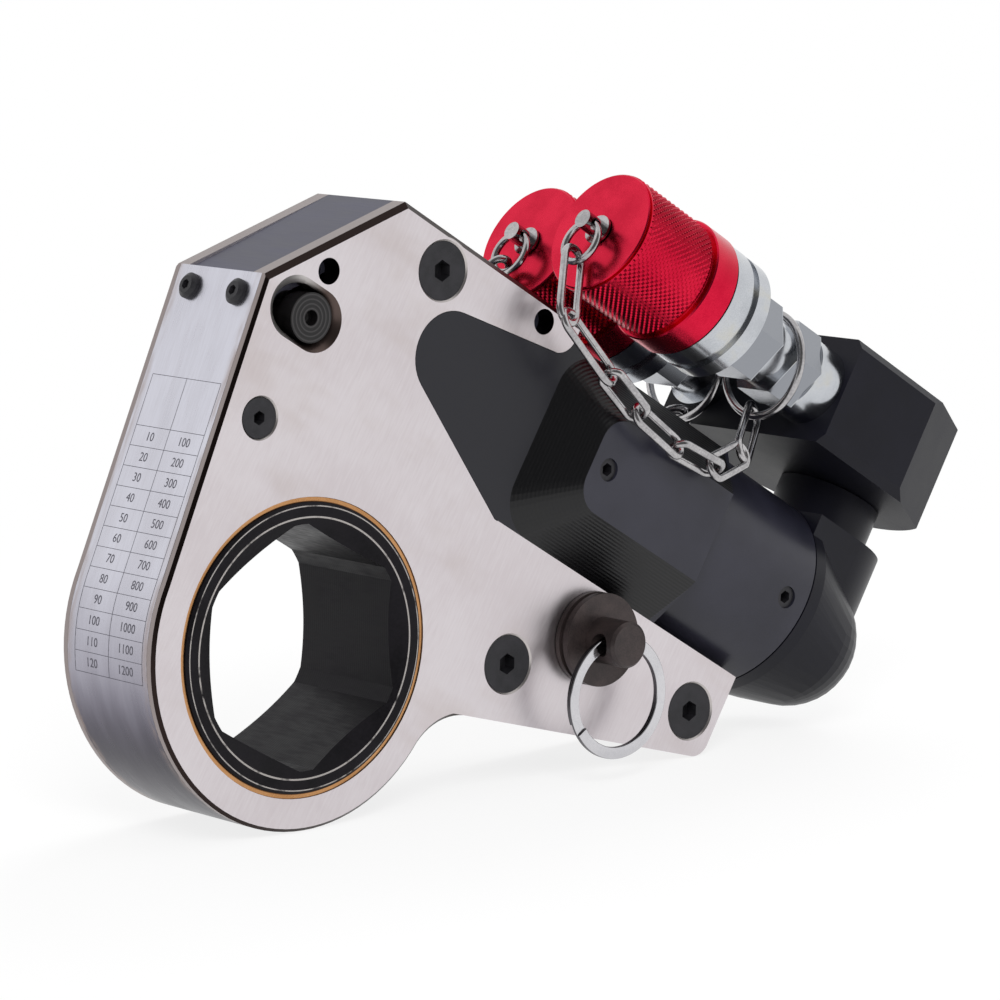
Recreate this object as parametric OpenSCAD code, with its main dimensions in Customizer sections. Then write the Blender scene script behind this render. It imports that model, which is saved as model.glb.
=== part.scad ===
// Hydraulic torque wrench: a ratchet link driven by a power head with two swivels.
// Millimetres. The origin is the centre of the hexagon bore, halfway through the link.
// X runs along the tool to the rear, Y along the bore axis and Z up.
// The wrench stands on its ring and toe, so the cylinder axis falls towards the rear.
// Shapes are drawn in the tool frame: u along the cylinder axis, v square to it.

/* [Link] */
// Fall of the cylinder axis when the wrench stands, in degrees
tilt = 32; // [31:0.5:33]
// Thickness of the link over both side plates
link_t = 31.8; // [30:0.2:34]
// Thickness of one side plate
plate_t = 5; // [4.5:0.1:5.4]
// Outer radius of the ring end
ring_r = 38.1; // [37.6:0.1:39.5]
// Bevel round the outer edges of the side plates
edge_bevel = 0.7; // [0.5:0.1:1]
// Height of the roof edge over the bore centre, square to the cylinder axis
roof_v = 91.3; // [90:0.1:93]
// Distance of the toe's end from the bore centre, along the cylinder axis
toe_u = 113.6; // [111:0.2:116]
// Thickness of the band wrapped round the ring
band_t = 0.9; // [0.6:0.1:1.2]
// Width of the band
band_w = 27.6; // [25:0.2:28]

/* [Ratchet] */
// Hexagon bore across flats
hex_af = 46; // [41:1:46]
// Number of ratchet teeth
tooth_count = 36; // [30:1:40]
// Wall of the bronze bushes
bush_wall = 1; // [0.8:0.1:1.2]

/* [Power head] */
// Height of the cylinder axis over the bore centre
axis_v = 66; // [65.5:0.1:66.5]
// Width over the two cheeks of the head
head_w = 50.8; // [49:0.2:53]
// Radius of the barrel
barrel_r = 23; // [22:0.1:23.5]
// Radius of the cylinder bore
bore_r = 12.6; // [12:0.1:13]
// Working stroke of the piston
stroke = 26; // [22:1:26]
// Radius of the piston rod
rod_r = 8; // [7.5:0.1:8]
// Place of the seam between barrel and end cap
seam_u = 117.8; // [117:0.2:120]

/* [Swivel and couplers] */
// Width of the manifold
manifold_w = 54; // [52:0.2:56]
// Height of the manifold
manifold_h = 25.3; // [24:0.1:27]
// Radius of the swivel post
post_r = 12; // [11:0.1:12.5]
// Distance between the two coupler axes
coupler_pitch = 33.5; // [33:0.1:34.5]
// Radius of the knurled part of the caps
cap_r = 14.05; // [13.8:0.05:14.3]

/* [Pins and screws] */
// Radius of the retaining pin
pin_r = 5; // [4.5:0.1:5.5]
// Radius of the large countersunk heads
screw_head_r = 6.2; // [5.8:0.1:6.6]
// Outer radius of the key ring
key_ring_r = 13.6; // [13:0.1:14.5]

/* [Hidden] */
$fn = 96;

// Clearance between pieces that are fixed to each other
fit = 0.05;
// Clearance of a running fit, on the radius
run_fit = 0.05;
// Clearance between pieces that pass each other
pass = 0.4;

// Half thicknesses of the link
face_y = link_t / 2;
gap_y = face_y - plate_t;
teeth_y = gap_y / 2 - 0.15;
pawl_y = teeth_y - 1.2;

// Outline of the link in the tool frame
roof_corner = [-47.3, roof_v - 29.5];
apex = [-22.8, roof_v];
horn_u = 32.5;
horn_r = 5;
seat_v = axis_v - 21;
left_angle = atan2(roof_corner[1], roof_corner[0]) + acos(ring_r / norm(roof_corner));
left_n = [cos(left_angle), sin(left_angle)];
left_t = ring_r * left_n;
left_d = [-left_n[1], left_n[0]];
roof_d = (apex - roof_corner) / norm(apex - roof_corner);
roof_n = [-roof_d[1], roof_d[0]];

// The toe's round foot is as low as the ring, so that the wrench stands on both
toe_r = 4.5;
toe_slope = 16.3;
toe_c = [toe_u - toe_r, (toe_r - ring_r + (toe_u - toe_r) * sin(tilt)) / cos(tilt)];
under_n = [-sin(toe_slope), cos(toe_slope)];
under_d = [cos(toe_slope), sin(toe_slope)];
toe_low = toe_c - toe_r * under_n;
under_h = under_n * toe_low;
fillet_r = 14;
fillet_s = sqrt(pow(ring_r + fillet_r, 2) - pow(fillet_r - under_h, 2));
fillet_c = under_n * (under_h - fillet_r) + under_d * fillet_s;
fillet_line = under_n * under_h + under_d * fillet_s;
fillet_ring = fillet_c * ring_r / (ring_r + fillet_r);
band_end = fillet_line + under_d * 7.5;

// Fork tongue of the head and the notch that it hooks into
nose_c = [3.8, axis_v + 3];
nose_r = 9.55;
nose_low = 25.4;
nose_up = 9.5;
shoulder_u = horn_u + 0.5;
tongue_fit = 0.12;

// Screws, tapped holes and the release slot
screw_spots = [[-7.4, roof_v - 7.9], [51.5, 19.9], [toe_u - 8.6, 32.8]];
screw_r = 3;
screw_depth = 8;
csk_h = 3.3;
pivot_spot = [-34.3, 35.7];
pivot_r = 4;
pivot_screw_r = 2;
pivot_head_r = 4.2;
tap_spots = [[-33.9, roof_v - 21.9], [22.6, roof_v - 4.3]];
tap_r = 2.75;
release_arm = 23.5;
release_spot = pivot_spot + [1.4, release_arm];
release_swing = 7.5;
release_r = 5.2;
slot_r = release_r + 0.4;
slot_run = release_arm * sin(release_swing) + 0.2;
dish_r = 6.6;
dish_depth = 2.6;
dish_run = 5.9;
dish_c = release_spot - [1.75, 0];
roof_bevel = edge_bevel + 0.5;

// Ratchet and drive
tip_r = ring_r - 3.9;
tooth_h = 2.6;
root_r = tip_r - tooth_h;
journal_r = root_r - 1.45;
bush_r = journal_r + run_fit + bush_wall;
ring_plate_r = tip_r + 1.8;
drive_y0 = teeth_y + pass;
drive_y1 = gap_y - pass;
pin_u = stroke / 2;
drive_spot = [pin_u, axis_v];
drive_angle = atan2(axis_v, pin_u);
drive_pin_r = 5;
boss_r = 8.8;
pawl_angle = 75;
pawl_pivot_t = -11.5;
pawl_pivot_r = tip_r + 10.8;
pawl_pin_r = 3;
pawl_boss_r = 5.2;
pawl_lift = 0.3;

// Power head
cheek_y = head_w / 2;
ramp = cheek_y - face_y;
block_h = 42;
flat_h = 21.2;
block_end = 82.8;
lug_spot = [69.8, seat_v - 10.4];
lug_r = 9.5;
gland_u = 50;
bore_u = 64;
piston_u = seam_u - 21.8;
piston_l = 16;
eye_r = 9.5;
eye_play = 0.35;
eye_rise = 1.6;
rod_u0 = 27;
seam = 0.4;
plug_l = 4;

// End cap and swivel post
post_u = seam_u + 15.2;
tower_r = 16;
tower_v = axis_v + 21.6;
belly_v = axis_v - 3.4;
belly_y = 5;
flange_l = 3.7;
under_v = tower_v + 10.1;
journal_post_r = post_r - 3;
top_v = under_v + manifold_h;
nut_r = post_r - 0.8;
nut_h = 3.6;

// Manifold and couplers
man_y = manifold_w / 2;
man_u = post_u - 33.6;
man_bevel = 2;
port_v = under_v + 12.8;
port_r = 6.5;
port_l = 12;
coupler_y = coupler_pitch / 2;
collar_r = 9.2;
far_shift = 10;
cap_u = man_u - 73.7;
cap_l = 29.3;
cap_band_r = cap_r + 0.65;
nose_fit = 0.3;
nose_male_r = cap_r - 1.95;
neck_r = 7.6;
loop_wire = 0.9;
loop_r = 11.6;
loop_lean = 16;
loop_u = cap_u + 57.75;
loop_drop = 2.54;
loop_shift = 0.85 * far_shift;
stud_r = 2.1;
stud_l = 5.7;
split_wire = 0.8;
split_r = 4.7;

// Chains: joints between the links of the near chain, in the tool frame
chain_wire = 0.85;
chain_width = 3.4;
chain_route = [
    [21.6, -16.8, 103], [21.4, -24, 88.2], [36.5, -26.5, 82], [46, -28.6, 78.3],
    [59, -29.6, 76.5], [71, -29.6, 77.5], [79.5, -26.5, 85], [87.4, -15.7, 98.05]];
chain_roll = [0, 56, 146, 56, 146, 56, 43];
chain_spread = 1.5;

// Retaining pin and key ring
flange_r = 10.15;
flange_h = 4.1;
knob_h = 8.7;
key_wire_h = 2.7;
key_wire_t = 2;
key_hole_r = 2.5;

steel = [0.78, 0.76, 0.75];
dark = [0.2, 0.2, 0.22];
black = [0.13, 0.13, 0.15];
bronze = [0.72, 0.52, 0.34];
red = [0.72, 0.08, 0.18];
zinc = [0.8, 0.8, 0.78];
rubber = [0.06, 0.06, 0.06];

function polar(r, a) = [r * cos(a), r * sin(a)];
function on_far(p) = [p[0], -p[1], p[2]];

// Turns the tool frame into the standing frame
module tool() {
    rotate([0, tilt, 0]) children();
}

// Extrudes an outline drawn in (u, v) from y0 to y1
module slab(y0, y1) {
    translate([0, y1, 0]) rotate([90, 0, 0]) linear_extrude(height = y1 - y0) children();
}

// Round bar along Y at a spot in (u, v)
module bar_y(spot, y0, y1, r0, r1) {
    translate([spot[0], y0, spot[1]]) rotate([-90, 0, 0]) cylinder(h = y1 - y0, r1 = r0, r2 = r1);
}

// Round bar along u at height v and depth y
module bar_u(u0, u1, y, v, r0, r1) {
    translate([u0, y, v]) rotate([0, 90, 0]) cylinder(h = u1 - u0, r1 = r0, r2 = r1);
}

// Round bar along v on the post axis
module bar_post(v0, v1, r0, r1) {
    translate([post_u, 0, v0]) cylinder(h = v1 - v0, r1 = r0, r2 = r1);
}

module both_sides() {
    children();
    mirror([0, 1, 0]) children();
}

// Link

// Corner between the horn's underside and its end, as far out as reach
module horn_corner(reach) {
    foot = nose_c + nose_r * [-sin(nose_up), cos(nose_up)];
    rise = foot[1] - foot[0] * tan(nose_up);
    centre = [horn_u - horn_r, rise + (horn_u - horn_r) * tan(nose_up) + horn_r / cos(nose_up)];
    difference() {
        polygon([
            centre, centre + horn_r * [sin(nose_up), -cos(nose_up)],
            [shoulder_u, rise + shoulder_u * tan(nose_up)], [shoulder_u, centre[1]]]);
        translate(centre) circle(r = reach);
    }
}

module tongue_outline(grow) {
    r = nose_r + grow;
    low = nose_c - r * [sin(nose_low), cos(nose_low)];
    high = nose_c + r * [-sin(nose_up), cos(nose_up)];
    translate(nose_c) circle(r = r);
    polygon([
        nose_c, low, [low[0] + (low[1] - seat_v + grow) / tan(nose_low), seat_v - grow],
        [shoulder_u, seat_v - grow], [shoulder_u, high[1] + (shoulder_u - high[0]) * tan(nose_up)], high]);
}

// Link without the ring: body, round foot of the toe and the filler under it that fairs into the ring
module link_body() {
    inner = left_t - 0.05 * left_n;
    slab(-face_y, -gap_y) polygon([
        inner, roof_corner, apex, [horn_u, roof_v], [horn_u, seat_v], [toe_u, seat_v], [toe_u, toe_c[1]],
        toe_c, toe_low, under_n * under_h + under_d * (ring_r - 10), [0, 0]]);
    bar_y(toe_c, -face_y, -gap_y, toe_r + 0.02, toe_r + 0.02);
    difference() {
        slab(-face_y, -gap_y) polygon([
            fillet_line + 2 * under_n, fillet_c, 0.8 * fillet_ring,
            under_n * (under_h + 2) + under_d * (ring_r - 10)]);
        bar_y(fillet_c, -face_y - 1, -gap_y + 1, fillet_r + 0.04, fillet_r + 0.04);
        bar_y(fillet_c, -face_y - 0.1, -face_y + edge_bevel, fillet_r + edge_bevel + 0.14, fillet_r + 0.04);
    }
}

// Part of the link behind the band's surface at depth t; its far side runs over the band's ends
module rim(t, over, half) {
    bar_y([0, 0], -half, half, ring_r - t, ring_r - t);
    difference() {
        slab(-half, half) polygon([
            left_t - t * left_n, roof_corner - t * left_n - over * left_d, band_end + t * under_n + over * under_d,
            fillet_line + t * under_n, fillet_c, [0, 0]]);
        bar_y(fillet_c, -half - 1, half + 1, fillet_r + t, fillet_r + t);
    }
}

// Band down the left side, round the ring and along the fillet
module band(t, half) {
    difference() {
        rim(0, 0, half);
        rim(t, 4, half + 1);
        slab(-half - 1, half + 1) polygon([
            [0, 0], roof_corner - 2 * t * left_n, 2 * roof_corner, [3 * ring_r, 3 * ring_r], 2 * band_end, band_end]);
    }
}

// Square bar along an outer edge, set on its corner, that cuts the bevel
module edge_cut(from, to, bevel) {
    run = to - from;
    side = bevel * sqrt(2);
    translate([from[0], -face_y, from[1]]) rotate([0, -atan2(run[1], run[0]), 0]) rotate([45, 0, 0])
        translate([-2, -side / 2, -side / 2]) cube([norm(run) + 4, side, side]);
}

// Countersunk hole from the near face
module csk_hole(spot, head, shank) {
    bar_y(spot, -face_y, -face_y + csk_h, head + 0.4, shank + 0.1);
    bar_y(spot, -face_y, -gap_y + 1, shank + 0.1, shank + 0.1);
}

module csk_screw(spot, head, shank, socket) {
    difference() {
        union() {
            bar_y(spot, -face_y + 0.3, -face_y + csk_h, head, shank);
            bar_y(spot, -face_y + csk_h, -gap_y + screw_depth, shank, shank);
        }
        bar_y(spot, -face_y, -face_y + csk_h, 0.1, 0.1);
        translate([spot[0], -face_y, spot[1]]) rotate([-90, 0, 0]) cylinder(h = csk_h, r = socket, $fn = 6);
    }
}

// Slot of the release pin in the dish that a thumb reaches into, cut from the near face
module release_slot() {
    slab(-face_y - 1, -gap_y + 1) translate(release_spot - [slot_run / 2, 0]) {
        for (end = [-1, 1]) translate([end * slot_run / 2, 0]) circle(r = slot_r);
        square([slot_run, 2 * slot_r], center = true);
    }
    for (end = [-1, 1])
        bar_y(dish_c + [end * dish_run / 2, 0], -face_y, -face_y + dish_depth, dish_r, dish_r - dish_depth);
    translate([dish_c[0] - dish_run / 2, -face_y, dish_c[1]]) rotate([90, 0, 90]) linear_extrude(height = dish_run)
        polygon([
            [0, dish_r], [dish_depth, dish_r - dish_depth], [dish_depth, dish_depth - dish_r], [0, -dish_r]]);
}

module side_plate() {
    difference() {
        union() {
            bar_y([0, 0], -face_y, -face_y + edge_bevel, ring_r - edge_bevel, ring_r);
            bar_y([0, 0], -face_y + edge_bevel, -gap_y, ring_r, ring_r);
            difference() {
                link_body();
                edge_cut(left_t - 0.05 * left_n, roof_corner, edge_bevel);
                edge_cut(roof_corner, apex, roof_bevel);
                edge_cut(apex, [horn_u, roof_v], roof_bevel);
            }
        }
        slab(-face_y - 1, -gap_y + 1) tongue_outline(tongue_fit);
        slab(-face_y - 1, -gap_y + 1) horn_corner(horn_r);
        band(band_t + fit, band_w / 2 + fit);
        bar_y([0, 0], -face_y - 1, -gap_y + 1, bush_r, bush_r);
        bar_y(lug_spot, -face_y - 1, -gap_y + 1, pin_r + run_fit, pin_r + run_fit);
        for (spot = screw_spots) csk_hole(spot, screw_head_r, screw_r);
        csk_hole(pivot_spot, pivot_head_r, pivot_screw_r);
        for (spot = tap_spots) bar_y(spot, -face_y - 1, -gap_y + 1, tap_r, tap_r);
        release_slot();
    }
}

module near_side_plate() {
    color(steel) tool() side_plate();
}

module far_side_plate() {
    color(steel) tool() mirror([0, 1, 0]) side_plate();
}

module bush() {
    difference() {
        bar_y([0, 0], -face_y + 0.3, -gap_y, bush_r, bush_r);
        bar_y([0, 0], -face_y, -gap_y + 1, bush_r - bush_wall, bush_r - bush_wall);
    }
}

module near_bush() {
    color(bronze) bush();
}

module far_bush() {
    color(bronze) mirror([0, 1, 0]) bush();
}

// Sloped ratchet teeth; the steep flanks face the push of the drive pawl
module teeth_outline(grow) {
    pitch = 360 / tooth_count;
    polygon([for (i = [0 : tooth_count - 1], half = [0, 1])
        half == 0 ? polar(tip_r + grow, i * pitch) : polar(root_r + grow, (i + 0.93) * pitch)]);
}

// Ratchet with rounded hexagon corners; its ends stand proud of the side plates
module ratchet() {
    corner_r = hex_af / 2 / cos(30);
    round_r = 0.964 * corner_r;
    mouth_r = journal_r - 3.2;
    end_y = face_y + 0.6;
    color(dark) difference() {
        union() {
            bar_y([0, 0], -end_y + 0.5, end_y - 0.5, journal_r, journal_r);
            both_sides() bar_y([0, 0], -end_y, -end_y + 0.5, journal_r - 0.5, journal_r);
            slab(-teeth_y, teeth_y) teeth_outline(0);
        }
        intersection() {
            rotate([90, 30, 0]) cylinder(h = link_t + 4, r = corner_r, center = true, $fn = 6);
            bar_y([0, 0], -end_y - 1, end_y + 1, round_r, round_r);
        }
        both_sides() bar_y([0, 0], -end_y, -end_y + 2.2, mouth_r, hex_af / 2 - 0.4);
    }
}

module roof_block() {
    start = roof_corner - band_t * left_n + 0.1 * roof_d;
    low = roof_corner + 1.3 * roof_d - 7 * roof_n;
    low_v = roof_v - 13.8;
    leg = start + 9.5 * left_d;
    color(dark) tool() difference() {
        slab(-gap_y, gap_y) polygon([
            start, apex, [horn_u - 0.2, roof_v], [horn_u - 0.2, roof_v - 5], [4, roof_v - 11], [2, low_v],
            low + roof_d * (low_v - low[1]) / roof_d[1], low, leg - 8 * left_d - 3.6 * left_n, leg - 3.6 * left_n, leg]);
        slab(-pawl_y - pass, pawl_y + pass) {
            for (end = [0, 1]) translate(release_spot - [end * 6.5, end * 0.5]) circle(r = 5.6);
            translate(release_spot - [6.5, 6]) square([6.5, 11.4]);
        }
        for (end = [0 : 0.5 : 1])
            bar_y(release_spot - [end * slot_run, 0], -gap_y - 1, gap_y + 1, 3.8, 3.8);
        both_sides() {
            bar_y(screw_spots[0], -gap_y - 1, -gap_y + screw_depth + 1, screw_r + fit, screw_r + fit);
            for (spot = tap_spots) bar_y(spot, -gap_y - 1, -gap_y + 5, tap_r - 1.1, tap_r - 1.1);
            band_screw_hole(-1, 1.5);
        }
    }
}

module screw_post(spot) {
    both_sides() bar_y(spot, -gap_y - 1, -gap_y + screw_depth + 1, screw_r + fit, screw_r + fit);
}

module heel_spacer() {
    color(dark) tool() difference() {
        bar_y(screw_spots[1], -gap_y, gap_y, 6.5, 6.5);
        screw_post(screw_spots[1]);
    }
}

module toe_spacer() {
    low = toe_low + 2 * under_n;
    color(dark) tool() difference() {
        slab(-gap_y, gap_y) polygon([
            [toe_u - 22, (low - 16 * under_d)[1]], low, [toe_u - 1, toe_c[1]], [toe_u - 1, axis_v - barrel_r - 2],
            [toe_u - 22, axis_v - barrel_r - 2]]);
        screw_post(screw_spots[2]);
    }
}

module table_band() {
    color(steel) tool() difference() {
        band(band_t, band_w / 2);
        for (side = [-1, 1]) band_screw_hole(side, 1.5);
    }
}

// Places a child along the band's outward normal at one of its two screws
module at_band_screw(side) {
    spot = roof_corner + 4.6 * left_d;
    translate([spot[0], side * 8, spot[1]]) rotate([0, 90 - left_angle, 0]) children();
}

module band_screw_hole(side, r) {
    at_band_screw(side) translate([0, 0, -9]) cylinder(h = 12, r = r);
}

module band_screws() {
    color(black) tool() for (side = [-1, 1]) at_band_screw(side) difference() {
        union() {
            cylinder(h = 0.9, r = 2.75);
            translate([0, 0, 0.9]) cylinder(h = 0.7, r1 = 2.75, r2 = 1.9);
            translate([0, 0, -3.6]) cylinder(h = 4, r = 1.45);
        }
        translate([0, 0, 0.5]) cylinder(h = 2, r = 1.1, $fn = 6);
    }
}

module plate_screws() {
    color(black) tool() both_sides() for (spot = screw_spots) csk_screw(spot, screw_head_r, screw_r, 2.3);
}

module pivot_screws() {
    color(black) tool() both_sides() csk_screw(pivot_spot, pivot_head_r, pivot_screw_r, 1.5);
}

// Drive inside the link

// Drive pawl frame: t along the ratchet's rim, r outwards
module at_pawl() {
    rotate(pawl_angle - 90) children();
}

module drive_plate() {
    side = (boss_r - 0.15) * [-sin(drive_angle), cos(drive_angle)];
    difference() {
        union() {
            bar_y([0, 0], -drive_y1, -drive_y0, ring_plate_r, ring_plate_r);
            slab(-drive_y1, -drive_y0) polygon([
                polar(ring_plate_r - 0.5, drive_angle - 40), drive_spot - side, drive_spot + side,
                polar(ring_plate_r - 0.5, drive_angle + 40)]);
            bar_y(drive_spot, -drive_y1, -drive_y0, boss_r, boss_r);
        }
        bar_y([0, 0], -gap_y, 0, journal_r + 0.15, journal_r + 0.15);
        bar_y(drive_spot, -gap_y, 0, drive_pin_r, drive_pin_r);
        slab(-gap_y, 0) at_pawl() translate([pawl_pivot_t, pawl_pivot_r]) circle(r = pawl_pin_r);
    }
}

module near_drive_plate() {
    color(steel) tool() drive_plate();
}

module far_drive_plate() {
    color(steel) tool() mirror([0, 1, 0]) drive_plate();
}

module drive_pin() {
    color(steel) tool() bar_y(drive_spot, -drive_y1, drive_y1, drive_pin_r, drive_pin_r);
}

module drive_pawl() {
    color(dark) tool() slab(-pawl_y, pawl_y) difference() {
        at_pawl() {
            translate([0, tip_r]) polygon([
                [-5, -1.2], [9.5, -1.2], [11, 4.8], [3, 11.8], [-11, 16.8], [-15, 12.8], [-14, 6.8], [-9, 4.8]]);
            translate([pawl_pivot_t, pawl_pivot_r]) circle(r = pawl_boss_r);
        }
        teeth_outline(tooth_h + pawl_lift);
        at_pawl() translate([pawl_pivot_t, pawl_pivot_r]) circle(r = pawl_pin_r + run_fit);
    }
}

module pawl_pin() {
    color(steel) tool() slab(-drive_y1, drive_y1) at_pawl() translate([pawl_pivot_t, pawl_pivot_r])
        circle(r = pawl_pin_r);
}

// Torsion coils on the pawl pin, either side of the pawl
module pawl_spring() {
    color(steel) tool() both_sides() slab(-drive_y0 + 0.1, -pawl_y - 0.1) at_pawl()
        translate([pawl_pivot_t, pawl_pivot_r]) difference() {
            circle(r = 4.6);
            circle(r = pawl_pin_r);
        }
}

module reaction_pawl() {
    color(dark) tool() difference() {
        union() {
            bar_y(pivot_spot, -pawl_y, pawl_y, 6, 6);
            bar_y(release_spot, -pawl_y, pawl_y, 5, 5);
            slab(-pawl_y, pawl_y) polygon([
                pivot_spot - [4.5, 0], release_spot - [4, 0], release_spot + [4, 0], pivot_spot + [4.5, 7],
                pivot_spot + [9, 6], pivot_spot + [13, 2], pivot_spot + [20, -4], pivot_spot + [15.5, -7],
                pivot_spot + [2, -5]]);
        }
        slab(-gap_y, gap_y) teeth_outline(tooth_h + pawl_lift);
        bar_y(pivot_spot, -gap_y, gap_y, pivot_r + run_fit, pivot_r + run_fit);
        bar_y(release_spot, -gap_y, gap_y, 3, 3);
    }
}

module release_pin() {
    color(dark) tool() {
        bar_y(release_spot, -gap_y - 0.3, gap_y + 0.3, 3, 3);
        both_sides() difference() {
            bar_y(release_spot, -face_y + 0.3, -gap_y - 0.3, release_r, release_r);
            bar_y(release_spot, -face_y, -face_y + 2.6, 1.6, 1.6);
        }
    }
}

module pawl_pivot() {
    color(steel) tool() difference() {
        bar_y(pivot_spot, -gap_y, gap_y, pivot_r, pivot_r);
        both_sides() bar_y(pivot_spot, -gap_y - 1, -gap_y + screw_depth + 1, pivot_screw_r + fit, pivot_screw_r + fit);
    }
}

// Torsion coils on the reaction pawl's pivot
module reaction_spring() {
    color(steel) tool() both_sides() slab(-pawl_y - 3.6, -pawl_y - 0.1) translate(pivot_spot) difference() {
        circle(r = 5.6);
        circle(r = pivot_r);
    }
}

// Power head

// Cheek block whose ramps run from the flush face of the tongue out to the cheek flat
module cheek() {
    hull() {
        for (end = [-1, 1]) {
            bar_y([shoulder_u + 9, axis_v + end * (block_h / 2 - 9)], face_y - 0.6, face_y, 9, 9, $fn = 40);
            bar_y([shoulder_u + ramp + 6, axis_v + end * (flat_h / 2 - 6)], cheek_y - 0.1, cheek_y, 6, 6, $fn = 40);
        }
        translate([block_end, face_y - 0.6, axis_v - block_h / 2]) cube([2, 0.6, block_h]);
        translate([block_end - 1, cheek_y - 0.1, axis_v - flat_h / 2]) cube([1, 0.1, flat_h]);
    }
}

module power_head() {
    color(black) tool() difference() {
        union() {
            both_sides() {
                slab(-face_y, -gap_y - pass) {
                    tongue_outline(0);
                    horn_corner(horn_r + tongue_fit);
                }
                cheek();
            }
            translate([shoulder_u, -face_y, seat_v]) cube([block_end + 2 - shoulder_u, link_t, block_h]);
            bar_u(block_end - 10, seam_u, 0, axis_v, barrel_r, barrel_r);
            slab(-gap_y + 0.3, gap_y - 0.3) {
                translate(lug_spot) circle(r = lug_r);
                translate([lug_spot[0] - lug_r, lug_spot[1]]) square([2 * lug_r, seat_v - lug_spot[1] + 1]);
            }
        }
        bar_u(shoulder_u - 1, bore_u + 1, 0, axis_v, rod_r + 0.15, rod_r + 0.15);
        bar_u(gland_u, bore_u + 1, 0, axis_v, rod_r + 3, rod_r + 3);
        bar_u(bore_u, seam_u + 1, 0, axis_v, bore_r, bore_r);
        bar_y(lug_spot, -gap_y, gap_y, pin_r + run_fit, pin_r + run_fit);
        at_cheek_screw() translate([0, 0, -7]) cylinder(h = 9, r = 2.5);
        at_seam_screw() translate([0, 0, -6]) cylinder(h = 9, r = 2.5);
    }
}

module at_cheek_screw() {
    translate([shoulder_u + 14.5, -cheek_y, axis_v - 0.8]) rotate([90, 0, 0]) children();
}

module at_seam_screw() {
    translate([seam_u - 6.1, 0, axis_v]) rotate([93, 0, 0]) translate([0, 0, barrel_r]) children();
}

module set_screw() {
    translate([0, 0, -5.8]) difference() {
        cylinder(h = 5.2, r = 2.45);
        translate([0, 0, 2.6]) cylinder(h = 3, r = 1.45, $fn = 6);
    }
}

module head_set_screws() {
    color(dark) tool() {
        at_cheek_screw() set_screw();
        at_seam_screw() set_screw();
    }
}

module ring_u(u0, u1, outer, inner) {
    difference() {
        bar_u(u0, u1, 0, axis_v, outer, outer);
        bar_u(u0 - 1, u1 + 1, 0, axis_v, inner, inner);
    }
}

module rod_gland() {
    color(bronze) tool() ring_u(gland_u + 4, bore_u, rod_r + 3, rod_r + run_fit);
}

module rod_seal() {
    color(rubber) tool() ring_u(gland_u, gland_u + 4, rod_r + 3, rod_r + run_fit);
}

module piston() {
    color(steel) tool() difference() {
        bar_u(piston_u, piston_u + piston_l, 0, axis_v, bore_r - run_fit, bore_r - run_fit);
        bar_u(piston_u - 1, piston_u + 12, 0, axis_v, rod_r - 2, rod_r - 2);
        ring_u(piston_u + 6, piston_u + 10, bore_r + 1, bore_r - 2.5);
    }
}

module piston_seal() {
    color(rubber) tool() ring_u(piston_u + 6, piston_u + 10, bore_r - run_fit, bore_r - 2.5);
}

// Rod with a flat eye; its hole is taller than the drive pin because the pin swings on an arc
module piston_rod() {
    hole_r = drive_pin_r + eye_play;
    color(steel) tool() {
        difference() {
            slab(-teeth_y + 0.1, teeth_y - 0.1) {
                translate(drive_spot) circle(r = eye_r);
                translate([drive_spot[0], axis_v - rod_r + 0.6])
                    square([rod_u0 + 1 - drive_spot[0], 2 * rod_r - 1.2]);
            }
            slab(-gap_y, gap_y) translate(drive_spot) {
                for (end = [0, 1]) translate([0, end * eye_rise]) circle(r = hole_r);
                translate([-hole_r, 0]) square([2 * hole_r, eye_rise]);
            }
        }
        bar_u(rod_u0, piston_u, 0, axis_v, rod_r, rod_r);
        bar_u(piston_u, piston_u + 12, 0, axis_v, rod_r - 2, rod_r - 2);
    }
}

// End cap and swivel

module end_cap() {
    color(black) tool() difference() {
        union() {
            bar_u(seam_u - plug_l, seam_u + seam + 1, 0, axis_v, bore_r - run_fit, bore_r - run_fit);
            bar_u(seam_u + seam, seam_u + flange_l, 0, axis_v, barrel_r, barrel_r);
            translate([seam_u + seam, -tower_r, axis_v]) cube([post_u - seam_u - seam, 2 * tower_r, tower_v - axis_v]);
            difference() {
                bar_post(axis_v - 4, tower_v, tower_r, tower_r);
                translate([seam_u - 20, -30, axis_v - 10]) cube([20 + seam + 0.5, 60, 60]);
            }
            hull() {
                bar_u(seam_u + flange_l - 0.5, seam_u + flange_l, 0, axis_v, barrel_r - 0.3, barrel_r - 0.3);
                for (side = [-1, 1]) translate([post_u, side * belly_y, belly_v]) sphere(r = tower_r, $fn = 40);
            }
        }
        ring_u(seam_u - 2.8, seam_u - 1.2, bore_r + 1, bore_r - 1.4);
        bar_post(tower_v - 14, tower_v + 1, journal_post_r + fit, journal_post_r + fit);
    }
}

module end_cap_seal() {
    color(rubber) tool() ring_u(seam_u - 2.8, seam_u - 1.2, bore_r - run_fit, bore_r - 1.4);
}

// The post is screwed into the tower; the manifold turns on its journal
module swivel_post() {
    color(black) tool() difference() {
        union() {
            bar_post(tower_v - 13.5, top_v + 0.3, journal_post_r, journal_post_r);
            bar_post(tower_v, under_v - 0.3, post_r, post_r);
            bar_post(top_v, top_v + nut_h + 0.6, journal_post_r - 3, journal_post_r - 3);
        }
        for (level = [6, 16]) post_ring(under_v + level, journal_post_r + 1, journal_post_r - 1.4);
    }
}

module post_ring(v, outer, inner) {
    difference() {
        bar_post(v, v + 2, outer, outer);
        bar_post(v - 1, v + 3, inner, inner);
    }
}

module post_seals() {
    color(rubber) tool() for (level = [6, 16]) post_ring(under_v + level, journal_post_r, journal_post_r - 1.4);
}

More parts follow.
